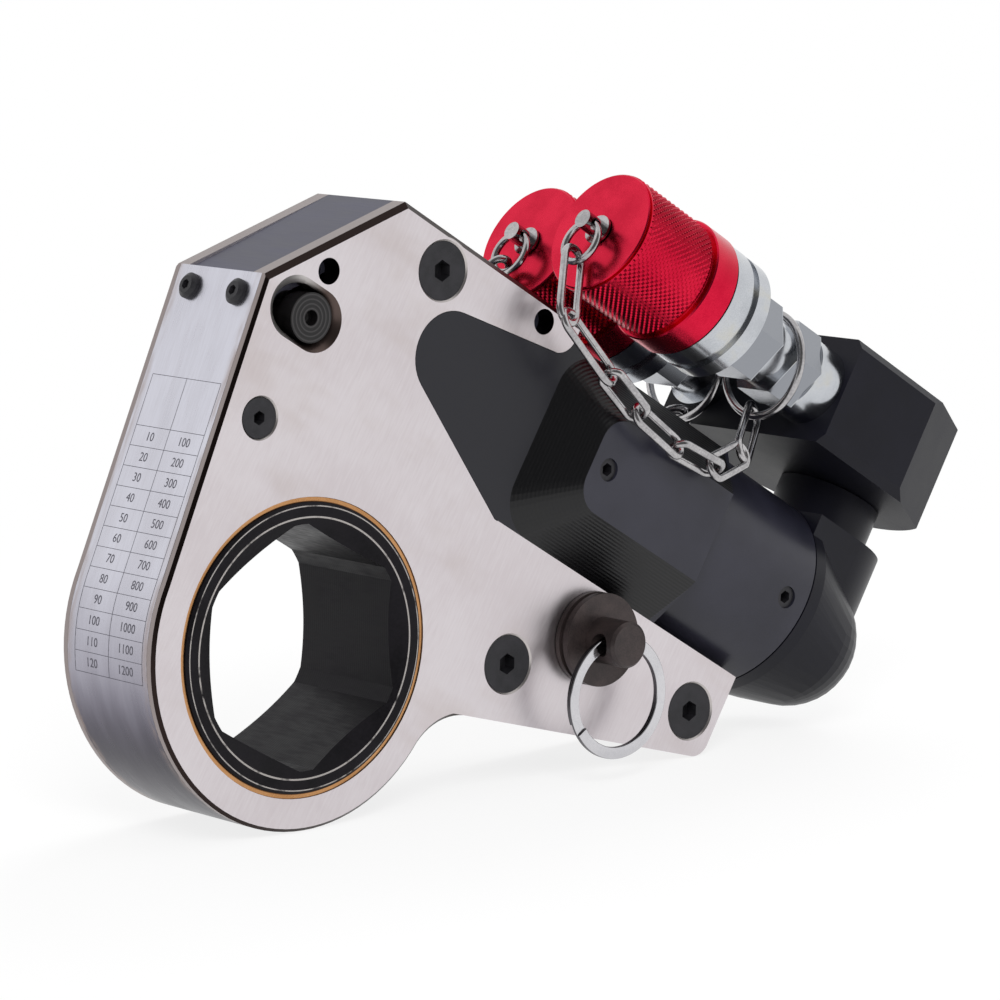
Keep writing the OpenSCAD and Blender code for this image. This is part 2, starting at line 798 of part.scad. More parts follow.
module post_retainer() {
    color(black) tool() difference() {
        union() {
            bar_post(top_v + 0.3, top_v + nut_h - 0.6, nut_r, nut_r);
            bar_post(top_v + nut_h - 0.6, top_v + nut_h, nut_r, nut_r - 0.6);
        }
        bar_post(top_v, top_v + nut_h + 1, journal_post_r - 3, journal_post_r - 3);
        for (side = [-1, 1]) translate([post_u, side * (nut_r - 2.6), top_v + 1.6]) cylinder(h = 4, r = 1.2);
    }
}

module manifold() {
    nose_u = post_u + 17.9;
    color(black) tool() difference() {
        intersection() {
            translate([0, 0, under_v]) linear_extrude(height = manifold_h) intersection() {
                polygon([
                    [man_u, man_y], [post_u - 6.3, man_y], [post_u + 20, man_y - 13.8],
                    [post_u + 20, 13.8 - man_y], [post_u - 6.3, -man_y], [man_u, -man_y]]);
                translate([nose_u - 33.5, 0]) circle(r = 33.5);
            }
            translate([man_u - 1, 0, 0]) rotate([90, 0, 90]) linear_extrude(height = 80) polygon([
                [-man_y + 2.1, under_v], [man_y - 2.1, under_v], [man_y, under_v + man_bevel],
                [man_y, top_v - man_bevel], [man_y - 2.1, top_v], [-man_y + 2.1, top_v],
                [-man_y, top_v - man_bevel], [-man_y, under_v + man_bevel]]);
        }
        bar_post(under_v - 1, top_v + 1, journal_post_r + run_fit, journal_post_r + run_fit);
        for (side = [-1, 1]) bar_u(man_u - 1, man_u + port_l, side * coupler_y, port_v, port_r + fit, port_r + fit);
    }
}

// Couplers: the far one sits closer to the manifold by far_shift

module hex_u(u0, u1, y, af) {
    translate([u0, y, port_v]) rotate([0, 90, 0]) rotate(90)
        cylinder(h = u1 - u0, r = af / 2 / cos(30), $fn = 6);
}

module adapter(y, shift) {
    color(zinc) tool() {
        bar_u(man_u - 7.9 + shift / 2, man_u, y, port_v, collar_r, collar_r);
        bar_u(man_u, man_u + port_l - 0.5, y, port_v, port_r, port_r);
        if (shift == 0) hex_u(man_u - 15.9, man_u - 7.9, y, 17.5);
    }
}

// Quick coupler: male nose under the cap, grooved ring, hexagon and neck
module coupler(y, shift) {
    u = cap_u + shift;
    neck_end = shift == 0 ? man_u - 15.9 : man_u - 7.9 + shift / 2;
    color(zinc) tool() {
        bar_u(u + 5.6, u + 34.8, y, port_v, nose_male_r, nose_male_r);
        bar_u(u + 34.8, u + 36.9, y, port_v, cap_r - 0.75, cap_r - 0.75);
        bar_u(u + 36.9, u + 40.8, y, port_v, cap_r + 0.15, cap_r + 0.15);
        bar_u(u + 40.8, u + 42.3, y, port_v, cap_r + 0.15, cap_r - 2);
        hex_u(u + 42.3, u + 51.8, y, 18);
        bar_u(u + 51.8, neck_end, y, port_v, neck_r, neck_r);
    }
}

module sleeve(y, shift) {
    u = cap_u + shift + cap_l;
    color(zinc) tool() difference() {
        bar_u(u + nose_fit, u + 5.5, y, port_v, cap_r + 0.25, cap_r + 0.25);
        bar_u(u, u + 6, y, port_v, nose_male_r + fit, nose_male_r + fit);
    }
}

module cap(y, shift) {
    u = cap_u + shift;
    color(red) tool() difference() {
        union() {
            bar_u(u, u + 22, y, port_v, cap_r, cap_r);
            bar_u(u + 22, u + cap_l, y, port_v, cap_band_r, cap_band_r);
        }
        bar_u(u + 5, u + cap_l + 1, y, port_v, nose_male_r + nose_fit, nose_male_r + nose_fit);
        bar_u(u - 1, u + 6, y, port_v, stud_r + run_fit, stud_r + run_fit);
    }
}

// Stud riveted in the cap, with a cross hole for the split ring
module cap_stud(y, shift) {
    u = cap_u + shift;
    color(steel) tool() difference() {
        union() {
            bar_u(u - stud_l, u + 5.3, y, port_v, stud_r, stud_r);
            bar_u(u - 0.9, u - 0.3, y, port_v, stud_r + 1.2, stud_r + 1.2);
        }
        translate([u - 3.4, y - 4, port_v]) rotate([-90, 0, 0]) cylinder(h = 8, r = 1.35);
    }
}

// The split ring leans on the cap's face
module split_ring(y, shift) {
    color(steel) tool() translate([cap_u + shift - 3.4, y, port_v + 0.25 - split_r]) rotate([0, 90, 0])
        rotate_extrude() translate([split_r, 0]) circle(r = split_wire);
}

module loop_ring(y, shift) {
    color(steel) tool() translate([loop_u + shift, y, port_v - loop_drop]) rotate([0, 90 - loop_lean, 0])
        rotate_extrude() translate([loop_r, 0]) circle(r = loop_wire);
}

module oval(run, r, h) {
    for (end = [-1, 1]) translate([end * run / 2, 0, -h / 2]) cylinder(h = h, r = r);
    cube([run, 2 * r, h], center = true);
}

// Oval link from one joint of the chain to the next
module link(from, to, roll) {
    run = to - from;
    half = chain_width - chain_wire;
    reach = norm(run) + 2.7 * chain_wire - 2 * half;
    translate((from + to) / 2)
        rotate([0, -atan2(run[2], norm([run[0], run[1]])), atan2(run[1], run[0])]) rotate([roll, 0, 0])
            difference() {
                oval(reach, half + chain_wire, 2 * chain_wire);
                oval(reach, half - chain_wire, 2 * chain_wire + 1);
            }
}

module chain(route, side) {
    color(steel) tool() for (i = [0 : len(route) - 2]) link(route[i], route[i + 1], side * chain_roll[i]);
}

module near_adapter() {
    adapter(-coupler_y, 0);
}

module near_coupler() {
    coupler(-coupler_y, 0);
}

module near_sleeve() {
    sleeve(-coupler_y, 0);
}

module near_cap() {
    cap(-coupler_y, 0);
}

module near_cap_stud() {
    cap_stud(-coupler_y, 0);
}

module near_split_ring() {
    split_ring(-coupler_y, 0);
}

module near_chain() {
    chain(chain_route, 1);
}

module near_loop_ring() {
    loop_ring(-coupler_y, 0);
}

module far_adapter() {
    adapter(coupler_y, far_shift);
}

module far_coupler() {
    coupler(coupler_y, far_shift);
}

module far_sleeve() {
    sleeve(coupler_y, far_shift);
}

module far_cap() {
    cap(coupler_y, far_shift);
}

module far_cap_stud() {
    cap_stud(coupler_y, far_shift);
}

module far_split_ring() {
    split_ring(coupler_y, far_shift);
}

module far_chain() {
    last = len(chain_route) - 1;
    chain([for (i = [0 : last]) on_far(chain_route[i])
        + [i < last ? far_shift : loop_shift, i % last == 0 ? 0 : chain_spread, 0]], -1);
}

module far_loop_ring() {
    loop_ring(coupler_y, loop_shift);
}

// Retaining pin with its flange, knob and key ring

module retaining_pin() {
    color(dark) tool() difference() {
        union() {
            bar_y(lug_spot, -face_y - 1, face_y - 0.6, pin_r, pin_r);
            bar_y(lug_spot, -face_y - flange_h, -face_y - 0.2, flange_r, flange_r);
            bar_y(lug_spot, -face_y - flange_h - knob_h + 0.6, -face_y - flange_h, pin_r, pin_r);
            bar_y(lug_spot, -face_y - flange_h - knob_h, -face_y - flange_h - knob_h + 0.6, pin_r - 0.6, pin_r);
        }
        difference() {
            bar_y(lug_spot, -face_y - flange_h / 2 - 0.6, -face_y - flange_h / 2 + 0.6, flange_r + 1, flange_r + 1);
            bar_y(lug_spot, -face_y - flange_h, -face_y, flange_r - 0.8, flange_r - 0.8);
        }
        at_knob() rotate([0, 90, 0]) cylinder(h = 30, r = key_hole_r, center = true);
    }
}

// Frame at the middle of the knob's cross hole, with the standing directions
module at_knob() {
    translate([lug_spot[0], -face_y - flange_h - knob_h / 2, lug_spot[1]]) rotate([0, -tilt, 0]) children();
}

module key_ring() {
    mid_r = key_ring_r - key_wire_h / 2;
    color(steel) tool() at_knob() translate([0, 0, 0.55 - mid_r]) rotate([90, 0, 0]) rotate_extrude()
        translate([mid_r, 0]) square([key_wire_h, key_wire_t], center = true);
}

near_side_plate();
far_side_plate();
near_bush();
far_bush();
ratchet();
roof_block();
heel_spacer();
toe_spacer();
table_band();
band_screws();
plate_screws();
pivot_screws();
near_drive_plate();
far_drive_plate();
drive_pin();
drive_pawl();
pawl_pin();
pawl_spring();
reaction_pawl();
release_pin();
pawl_pivot();
reaction_spring();
power_head();
rod_gland();
rod_seal();
piston();
piston_rod();
piston_seal();
head_set_screws();
end_cap();
end_cap_seal();
swivel_post();
post_seals();
post_retainer();
manifold();
near_adapter();
near_coupler();
near_sleeve();
near_cap();
near_cap_stud();
near_split_ring();
near_chain();
near_loop_ring();
far_adapter();
far_coupler();
far_sleeve();
far_cap();
far_cap_stud();
far_split_ring();
far_chain();
far_loop_ring();
retaining_pin();
key_ring();
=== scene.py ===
"""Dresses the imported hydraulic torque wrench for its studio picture.

Lengths in the classes are millimetres in the tool frame (u along the cylinder axis, y along the bore axis,
v square to both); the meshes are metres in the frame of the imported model.
"""
import logging
import math
from dataclasses import dataclass, field
from enum import Enum
from typing import Any, Optional, Sequence, Union

import bmesh
import bpy
from mathutils import Matrix, Vector


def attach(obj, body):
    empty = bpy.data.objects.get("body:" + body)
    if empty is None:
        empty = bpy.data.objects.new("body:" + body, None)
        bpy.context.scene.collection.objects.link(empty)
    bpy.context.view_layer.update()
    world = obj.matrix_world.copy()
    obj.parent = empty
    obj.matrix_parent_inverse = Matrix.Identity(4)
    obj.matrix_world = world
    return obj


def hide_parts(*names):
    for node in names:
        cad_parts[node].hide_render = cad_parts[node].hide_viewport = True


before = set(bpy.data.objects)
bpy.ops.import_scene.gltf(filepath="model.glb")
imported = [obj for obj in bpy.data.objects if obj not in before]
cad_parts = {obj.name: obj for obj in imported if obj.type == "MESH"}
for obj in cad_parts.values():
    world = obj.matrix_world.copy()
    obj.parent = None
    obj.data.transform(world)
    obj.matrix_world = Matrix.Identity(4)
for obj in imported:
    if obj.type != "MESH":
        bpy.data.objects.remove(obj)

LOG = logging.getLogger("torque_wrench")
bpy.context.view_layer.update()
Number = Union[int, float]
Value = Union["Sock", Number]
Pair = tuple[float, float]
Triple = tuple[float, float, float]
Colour = tuple[float, float, float, float]

MM = 0.001
PER_METRE = 1000.0
TILT = math.radians(32.0)
AXIS_U = Vector((math.cos(TILT), 0.0, -math.sin(TILT)))
AXIS_Y = Vector((0.0, 1.0, 0.0))
AXIS_V = Vector((math.sin(TILT), 0.0, math.cos(TILT)))


def place(u: float, y: float, v: float) -> Vector:
    """Turns a point of the tool frame in millimetres into the model's frame.

    Args:
        u: Distance along the cylinder axis.
        y: Distance along the bore axis.
        v: Height square to both.

    Returns:
        The point in metres.
    """
    return (AXIS_U * u + AXIS_Y * y + AXIS_V * v) * MM


def srgb(red: int, green: int, blue: int) -> Colour:
    """Turns a screen colour into the linear colour that a shader takes.

    Args:
        red: Red from 0 to 255.
        green: Green from 0 to 255.
        blue: Blue from 0 to 255.

    Returns:
        Linear red, green, blue and an alpha of 1.
    """
    def line(value: int) -> float:
        """Undoes the screen curve for one channel."""
        part = value / 255.0
        return part / 12.92 if part <= 0.04045 else ((part + 0.055) / 1.055) ** 2.4

    return (line(red), line(green), line(blue), 1.0)


class Sock:
    """An output socket whose Python operators add Math nodes to its tree."""

    def __init__(self, graph: "Graph", socket: bpy.types.NodeSocket) -> None:
        """Keeps the socket and the graph that it belongs to."""
        self.graph = graph
        self.socket = socket

    def math(self, operation: str, *others: Value) -> "Sock":
        """Adds a Math node that starts with this socket.

        Args:
            operation: Name of the Math operation.
            *others: Further values or sockets.

        Returns:
            The result.
        """
        return self.graph.math(operation, self, *others)

    def __add__(self, other: Value) -> "Sock":
        """Sum."""
        return self.math("ADD", other)

    def __sub__(self, other: Value) -> "Sock":
        """Difference."""
        return self.math("SUBTRACT", other)

    def __rsub__(self, other: Number) -> "Sock":
        """Number minus socket."""
        return self.graph.math("SUBTRACT", other, self)

    def __mul__(self, other: Value) -> "Sock":
        """Product."""
        return self.math("MULTIPLY", other)

    def __truediv__(self, other: Value) -> "Sock":
        """Quotient."""
        return self.math("DIVIDE", other)

    def __abs__(self) -> "Sock":
        """Absolute value."""
        return self.math("ABSOLUTE")

    def low(self, other: Value) -> "Sock":
        """Smaller of the two."""
        return self.math("MINIMUM", other)

    def high(self, other: Value) -> "Sock":
        """Larger of the two."""
        return self.math("MAXIMUM", other)

    def wave(self) -> "Sock":
        """Triangle wave of period 1 that is 1 at whole numbers and 0 halfway."""
        return abs(self.math("FRACT") * 2.0 - 1.0)

    def rise(self, start: float, end: float) -> "Sock":
        """Smooth step from 0 at start to 1 at end.

        Args:
            start: Value where the step begins.
            end: Value where the step is complete; smaller than start for a falling step.

        Returns:
            The step.
        """
        settings = {"interpolation_type": "SMOOTHSTEP"}
        if start < end:
            values = {0: self, 1: start, 2: end, 3: 0.0, 4: 1.0}
        else:
            values = {0: self, 1: end, 2: start, 3: 1.0, 4: 0.0}
        return self.graph.node("ShaderNodeMapRange", settings, values)


class Graph:
    """A node tree under construction."""

    def __init__(self, tree: bpy.types.NodeTree) -> None:
        """Keeps the tree that nodes are added to."""
        self.tree = tree

    def node(self, kind: str, settings: Optional[dict[str, Any]] = None,
             values: Optional[dict[Union[str, int], Any]] = None, out: Union[str, int] = 0) -> Sock:
        """Adds one node, its settings first and then its sockets.

        Args:
            kind: Node type.
            settings: Properties of the node.
            values: Socket name or number to a value, to a Sock that is linked, or to a list of them.
            out: Output to hand back.

        Returns:
            The chosen output.
        """
        made = self.tree.nodes.new(kind)
        for key, value in (settings or {}).items():
            setattr(made, key, value)
        for key, value in (values or {}).items():
            for part in value if isinstance(value, list) else [value]:
                if isinstance(part, Sock):
                    self.tree.links.new(part.socket, made.inputs[key])
                else:
                    made.inputs[key].default_value = part
        return Sock(self, made.outputs[out])

    def math(self, operation: str, *terms: Value) -> Sock:
        """Adds a Math node.

        Args:
            operation: Name of the Math operation.
            *terms: Values or sockets in order.

        Returns:
            The result.
        """
        return self.node("ShaderNodeMath", {"operation": operation}, dict(enumerate(terms)))

    def split(self, vector: Sock) -> tuple[Sock, Sock, Sock]:
        """Takes a vector apart.

        Args:
            vector: Vector socket.

        Returns:
            Its three parts.
        """
        first = self.node("ShaderNodeSeparateXYZ", None, {0: vector})
        outputs = first.socket.node.outputs
        return Sock(self, outputs[0]), Sock(self, outputs[1]), Sock(self, outputs[2])

    def join(self, x: Value, y: Value, z: Value) -> Sock:
        """Puts three numbers together as a vector."""
        return self.node("ShaderNodeCombineXYZ", None, {0: x, 1: y, 2: z})

    def blend(self, mask: Value, first: Union[Sock, Colour], second: Union[Sock, Colour]) -> Sock:
        """Mixes two colours.

        Args:
            mask: 0 gives the first colour and 1 the second.
            first: Colour or socket.
            second: Colour or socket.

        Returns:
            The mixed colour.
        """
        settings = {"data_type": "RGBA", "blend_type": "MIX", "clamp_factor": True}
        return self.node("ShaderNodeMix", settings, {0: mask, 6: first, 7: second}, 2)


class Surface(Graph):
    """Shader tree of one material, with the coordinates that its patterns read."""

    def __init__(self, name: str) -> None:
        """Makes an empty material and reads its Object coordinates in millimetres.

        Args:
            name: Material name.
        """
        self.material = bpy.data.materials.new(name)
        self.material.use_nodes = True
        super().__init__(self.material.node_tree)
        self.tree.nodes.clear()
        point = self.node("ShaderNodeTexCoord", None, None, "Object")
        self.normal = Sock(self, point.socket.node.outputs["Normal"])
        x, self.y, self.z = (part * PER_METRE for part in self.split(point))
        self.u = x * math.cos(TILT) - self.z * math.sin(TILT)
        self.v = x * math.sin(TILT) + self.z * math.cos(TILT)

    def facing(self) -> tuple[Sock, Sock, Sock]:
        """Gives the surface normal along u, y and v."""
        x, y, z = self.split(self.normal)
        return (x * math.cos(TILT) - z * math.sin(TILT), y, x * math.sin(TILT) + z * math.cos(TILT))

    def noise(self, pitch: Triple, detail: float = 3.0) -> Sock:
        """Noise whose lumps have the given sizes.

        Args:
            pitch: Lump size along u, y and v in millimetres.
            detail: Octaves of finer noise.

        Returns:
            Noise around 0.5.
        """
        where = self.join(self.u / pitch[0], self.y / pitch[1], self.v / pitch[2])
        return self.node("ShaderNodeTexNoise", {"noise_dimensions": "3D"},
                         {"Vector": where, "Scale": 1.0, "Detail": detail, "Roughness": 0.55})

    def around(self, u: float, v: float) -> Sock:
        """Distance from an axis that runs along the bore.

        Args:
            u: Place of the axis along the cylinder, in millimetres.
            v: Its height.

        Returns:
            The distance in millimetres.
        """
        across = self.u - u
        up = self.v - v
        return (across * across + up * up).math("SQRT")

    def bump(self, height: Sock, depth: float) -> Sock:
        """Bump from a height between 0 and 1.

        Args:
            height: Height socket.
            depth: Depth of the relief in millimetres.

        Returns:
            Normal for the shader.
        """
        values = {"Strength": 1.0, "Distance": depth * MM, "Height": height}
        return self.node("ShaderNodeBump", None, values)

    def close(self, values: dict[str, Any]) -> bpy.types.Material:
        """Ends the tree in a Principled shader.

        Args:
            values: Socket names of the shader to values or sockets.

        Returns:
            The finished material.
        """
        shader = self.node("ShaderNodeBsdfPrincipled", None, values)
        output = self.tree.nodes.new("ShaderNodeOutputMaterial")
        self.tree.links.new(shader.socket, output.inputs["Surface"])
        return self.material


@dataclass(frozen=True)
class Finish:
    """Worked metal with a cloudy tone, a fine grain and a shallow relief."""

    name: str
    light: Colour
    dark: Colour
    metallic: float = 1.0
    rough: Pair = (0.25, 0.4)
    cloud: Triple = (12.0, 12.0, 12.0)
    grain: Triple = (0.3, 0.3, 0.3)
    relief: float = 0.012
    specular: float = 0.5

    def colour(self, s: Surface, base: Sock) -> Sock:
        """Colour over the surface; a plain finish keeps its cloudy tone."""
        return base

    def height(self, s: Surface, grain: Sock) -> Sock:
        """Relief over the surface; a plain finish has only its grain."""
        return grain

    def build(self) -> bpy.types.Material:
        """Makes the material.

        Returns:
            The finished material.
        """
        s = Surface(self.name)
        cloud = s.noise(self.cloud, 4.0)
        grain = s.noise(self.grain, 2.0)
        tone = (cloud * 0.65 + grain * 0.35).rise(0.32, 0.68)
        base = self.colour(s, s.blend(tone, self.dark, self.light))
        low, high = self.rough
        rough = (cloud * 0.5 + grain * 0.5).rise(0.3, 0.7) * (high - low) + low
        return s.close({
            "Base Color": base, "Metallic": self.metallic, "Roughness": rough,
            "Specular IOR Level": self.specular, "Normal": s.bump(self.height(s, grain), self.relief)})


@dataclass(frozen=True)
class PlateSteel(Finish):
    """Ground side plate: dark oxide on the bevels, pale countersinks and painted light and shade across a
    dish that darkens to one end.
    """

    bloom: Colour = srgb(184, 170, 164)
    bevel: Colour = srgb(48, 39, 37)
    edge: Colour = srgb(124, 112, 108)
    ring: Colour = srgb(196, 190, 188)
    dish_painted_light: Colour = srgb(222, 218, 216)
    dish_painted_shade: Colour = srgb(92, 79, 75)
    hollow: Colour = srgb(58, 51, 50)
    holes: tuple[Triple, ...] = (
        (-7.4, 83.4, 7.0), (51.5, 19.9, 7.0), (105.0, 32.8, 7.0), (-34.3, 35.7, 5.2), (0.0, 0.0, 36.0))
    taps: tuple[Pair, ...] = ((-33.9, 69.4), (22.6, 87.0))
    tap: float = 2.9
    slot: tuple[float, float, float, float] = (-34.65, 59.2, 2.95, 6.75)

    def colour(self, s: Surface, base: Sock) -> Sock:
        """Adds warm clouds, bevels, countersinks, painted light and shade across the dish, and the shade
        inside the tapped holes.

        Args:
            s: Surface under construction.
            base: Cloudy tone below.

        Returns:
            The finished colour.
        """
        clouds = s.noise((30.0, 30.0, 14.0)).rise(0.5, 0.75) * 0.3
        base = s.blend(clouds, base, self.bloom)
        tilt = abs(s.facing()[1])
        side = tilt.rise(0.3, 0.15)
        slant = tilt.rise(0.3, 0.5) * tilt.rise(0.95, 0.85)
        outside: Value = 1.0
        for u, v, r in self.holes:
            outside = s.around(u, v).rise(r, r + 0.2) * outside
        u, v, run, r = self.slot
        along = (abs(s.u - u) - run).high(0.0)
        up = s.v - v
        beyond = (along * along + up * up).math("SQRT").rise(r, r + 0.15)
        # painted light and shade: the dish is pale at one end and shaded at the other
        dish = s.blend((s.u - u).rise(-6.0, 3.0), self.dish_painted_light, self.dish_painted_shade)
        base = s.blend(slant * (1.0 - outside), base, self.ring)
        base = s.blend(side * 0.8, base, self.edge)
        base = s.blend(slant * outside * beyond, base, self.bevel)
        base = s.blend((1.0 - beyond) * tilt.rise(0.95, 0.85), base, dish)
        for u, v in self.taps:
            base = s.blend(s.around(u, v).rise(self.tap, self.tap - 0.1) * side, base, self.hollow)
        return base


@dataclass(frozen=True)
class BandSteel(Finish):
    """Wrapped band: bright on the flat, with painted shade darkening it towards the underside of the ring."""

    shade: Colour = srgb(104, 98, 114)
    underside_painted_shade: Colour = srgb(32, 29, 40)
    stain: Colour = srgb(150, 132, 124)
    shade_range: Pair = (24.0, -22.0)
    underside_shade_range: Pair = (0.0, -23.0)
    rim_range: Pair = (11.2, 13.9)

    def colour(self, s: Surface, base: Sock) -> Sock:
        """Adds the blued underside and brown stains along the rims.

        Args:
            s: Surface under construction.
            base: Cloudy tone below.

        Returns:
            The finished colour.
        """
        level = s.z + (s.noise((25.0, 6.0, 25.0)) * 8.0 - 4.0)
        # painted shade and dark reflection, deepening towards the underside of the ring
        base = s.blend(level.rise(*self.shade_range) * 0.9, base, self.shade)
        base = s.blend(level.rise(*self.underside_shade_range) * 0.9, base, self.underside_painted_shade)
        rim = abs(s.y).rise(*self.rim_range) * s.noise((5.0, 2.0, 12.0)).rise(0.35, 0.7)
        return s.blend(rim * 0.7, base, self.stain)


@dataclass(frozen=True)
class BlackHead(Finish):
    """Black anodised aluminium, deeper black on the tongue and painted shade on the ramps of the cheeks,
    which carry milling steps.
    """

    step: float = 0.55
    flush: Colour = srgb(13, 13, 22)
    ramp_painted_shade: Colour = srgb(7, 7, 9)
    cheek_range: Pair = (25.0, 17.0)
    tongue_range: Pair = (62.0, 40.0)
    block_end: float = 83.0

    def ramp(self, s: Surface) -> Sock:
        """1 on the ramps that rise from the tongue to the cheek flats.

        Args:
            s: Surface under construction.

        Returns:
            The mask.
        """
        across = abs(s.facing()[1])
        slant = across.rise(0.3, 0.5) * across.rise(0.97, 0.93)
        return slant * s.u.rise(self.block_end + 0.3, self.block_end)

    def colour(self, s: Surface, base: Sock) -> Sock:
        """Darkens the flush tongue and paints shade on the ramps.

        Args:
            s: Surface under construction.
            base: Cloudy tone below.

        Returns:
            The finished colour.
        """
        tongue = abs(s.y).rise(*self.cheek_range) * s.u.rise(*self.tongue_range)
        base = s.blend(tongue, base, self.flush)
        # painted shade on the ramps, which lie in shade
        return s.blend(self.ramp(s), base, self.ramp_painted_shade)

    def height(self, s: Surface, grain: Sock) -> Sock:
        """Adds the milling steps where the surface slants away from the cheek."""
        return grain * 0.15 + (s.y / self.step).wave() * self.ramp(s) * 0.85


@dataclass(frozen=True)
class Turned(Finish):
    """Metal turned on a lathe, with rings round axes that run along the bore."""

    spots: tuple[Pair, ...] = ((0.0, 0.0),)
    pitch: float = 0.6

    def height(self, s: Surface, grain: Sock) -> Sock:
        """Adds tool rings round the nearest axis.

        Args:
            s: Surface under construction.
            grain: Fine grain of the finish.

        Returns:
            The finished height.
        """
        near: Optional[Sock] = None
        for u, v in self.spots:
            far = s.around(u, v)
            near = far if near is None else near.low(far)
        return grain * 0.5 + (near / self.pitch).wave() * 0.5


@dataclass(frozen=True)
class Plated(Finish):
    """Zinc plate with faint yellow clouds, lathe rings along the couplers and duller hexagon flats darkened
    with painted shade.
    """

    tint: Colour = srgb(196, 190, 168)
    flat: Colour = srgb(146, 149, 155)
    near_flats: tuple[Pair, ...] = ((68.1, 77.4), (83.6, 91.4))
    far_flats: tuple[Pair, ...] = ((78.1, 87.4),)
    pitch: float = 0.45

    def flats(self, s: Surface) -> Sock:
        """1 on the flats of the hexagons, where shade is painted.

        Args:
            s: Surface under construction.

        Returns:
            The mask.
        """
        found: Value = 0.0
        for ranges, side in ((self.near_flats, -0.1), (self.far_flats, 0.1)):
            for low, high in ranges:
                along = s.u.rise(low, low + 0.1) * s.u.rise(high, high - 0.1)
                found = along * s.y.rise(-side, side) + found
        return found * abs(s.facing()[0]).rise(0.5, 0.3)

    def colour(self, s: Surface, base: Sock) -> Sock:
        """Adds the yellow clouds and the dull flats, darkened with painted shade."""
        base = s.blend(s.noise((9.0, 9.0, 9.0)).rise(0.52, 0.75) * 0.6, base, self.tint)
        # painted shade on the hexagon flats, over their duller zinc
        return s.blend(self.flats(s), base, self.flat)

    def height(self, s: Surface, grain: Sock) -> Sock:
        """Adds the lathe rings."""
        return grain * 0.4 + (s.u / self.pitch).wave() * 0.6


@dataclass(frozen=True)
class HexOxide(Finish):
    """Black oxide on the ratchet, with cutter marks and worn rims."""

    bright: Colour = srgb(165, 160, 157)
    rims: tuple[Pair, ...] = ((27.1, 0.14), (29.4, 0.08))
    pitch: float = 0.7
    wobble: float = 1.4

    def colour(self, s: Surface, base: Sock) -> Sock:
        """Adds the worn rims of the lead-in and of the outer chamfer.

        Args:
            s: Surface under construction.
            base: Cloudy tone below.

        Returns:
            The finished colour.
        """
        far = s.around(0.0, 0.0)
        worn = s.noise((3.0, 3.0, 3.0)).rise(0.25, 0.5)
        for radius, half in self.rims:
            off = abs(far - radius)
            base = s.blend(off.rise(half + 0.08, half) * worn, base, self.bright)
        return base

    def height(self, s: Surface, grain: Sock) -> Sock:
        """Adds cutter marks along the bore."""
        marks = s.y / self.pitch + s.noise((8.0, 8.0, 8.0), 2.0) * self.wobble
        return grain * 0.45 + marks.wave() * 0.35


@dataclass(frozen=True)
class Ringed(Finish):
    """Black turned pin whose end shows pale tool rings."""

    spot: Pair = (-32.9, 59.2)
    pitch: float = 0.95
    line: Colour = srgb(58, 56, 57)

    def colour(self, s: Surface, base: Sock) -> Sock:
        """Adds the pale rings round the pin's own axis."""
        rings = (s.around(*self.spot) / self.pitch).wave().rise(0.5, 0.9)
        return s.blend(rings * abs(s.facing()[1]).rise(0.8, 0.95) * 0.8, base, self.line)

    def height(self, s: Surface, grain: Sock) -> Sock:
        """Adds the grooves between the rings."""
        return grain * 0.2 + (s.around(*self.spot) / self.pitch).wave() * 0.8


@dataclass(frozen=True)
class BushBronze(Finish):
    """Bronze bush with oxidised rims."""

    rim: Colour = srgb(84, 56, 38)
    radii: Pair = (30.3, 31.05)

    def colour(self, s: Surface, base: Sock) -> Sock:
        """Darkens both rims.

        Args:
            s: Surface under construction.
            base: Cloudy tone below.

        Returns:
            The finished colour.
        """
        far = s.around(0.0, 0.0)
        inner, outer = self.radii
        rims = far.rise(inner + 0.1, inner).high(far.rise(outer, outer + 0.1))
        return s.blend(rims * 0.85, base, self.rim)


@dataclass(frozen=True)
class FlatRing(Finish):
    """Bright flat wire with painted shade on its edges."""

    edge: Colour = srgb(92, 90, 94)

    def colour(self, s: Surface, base: Sock) -> Sock:
        """Paints shade on the edges of the wire."""
        # painted shade where the wire curves away from its flat faces
        return s.blend(abs(s.facing()[1]).rise(0.75, 0.4), base, self.edge)


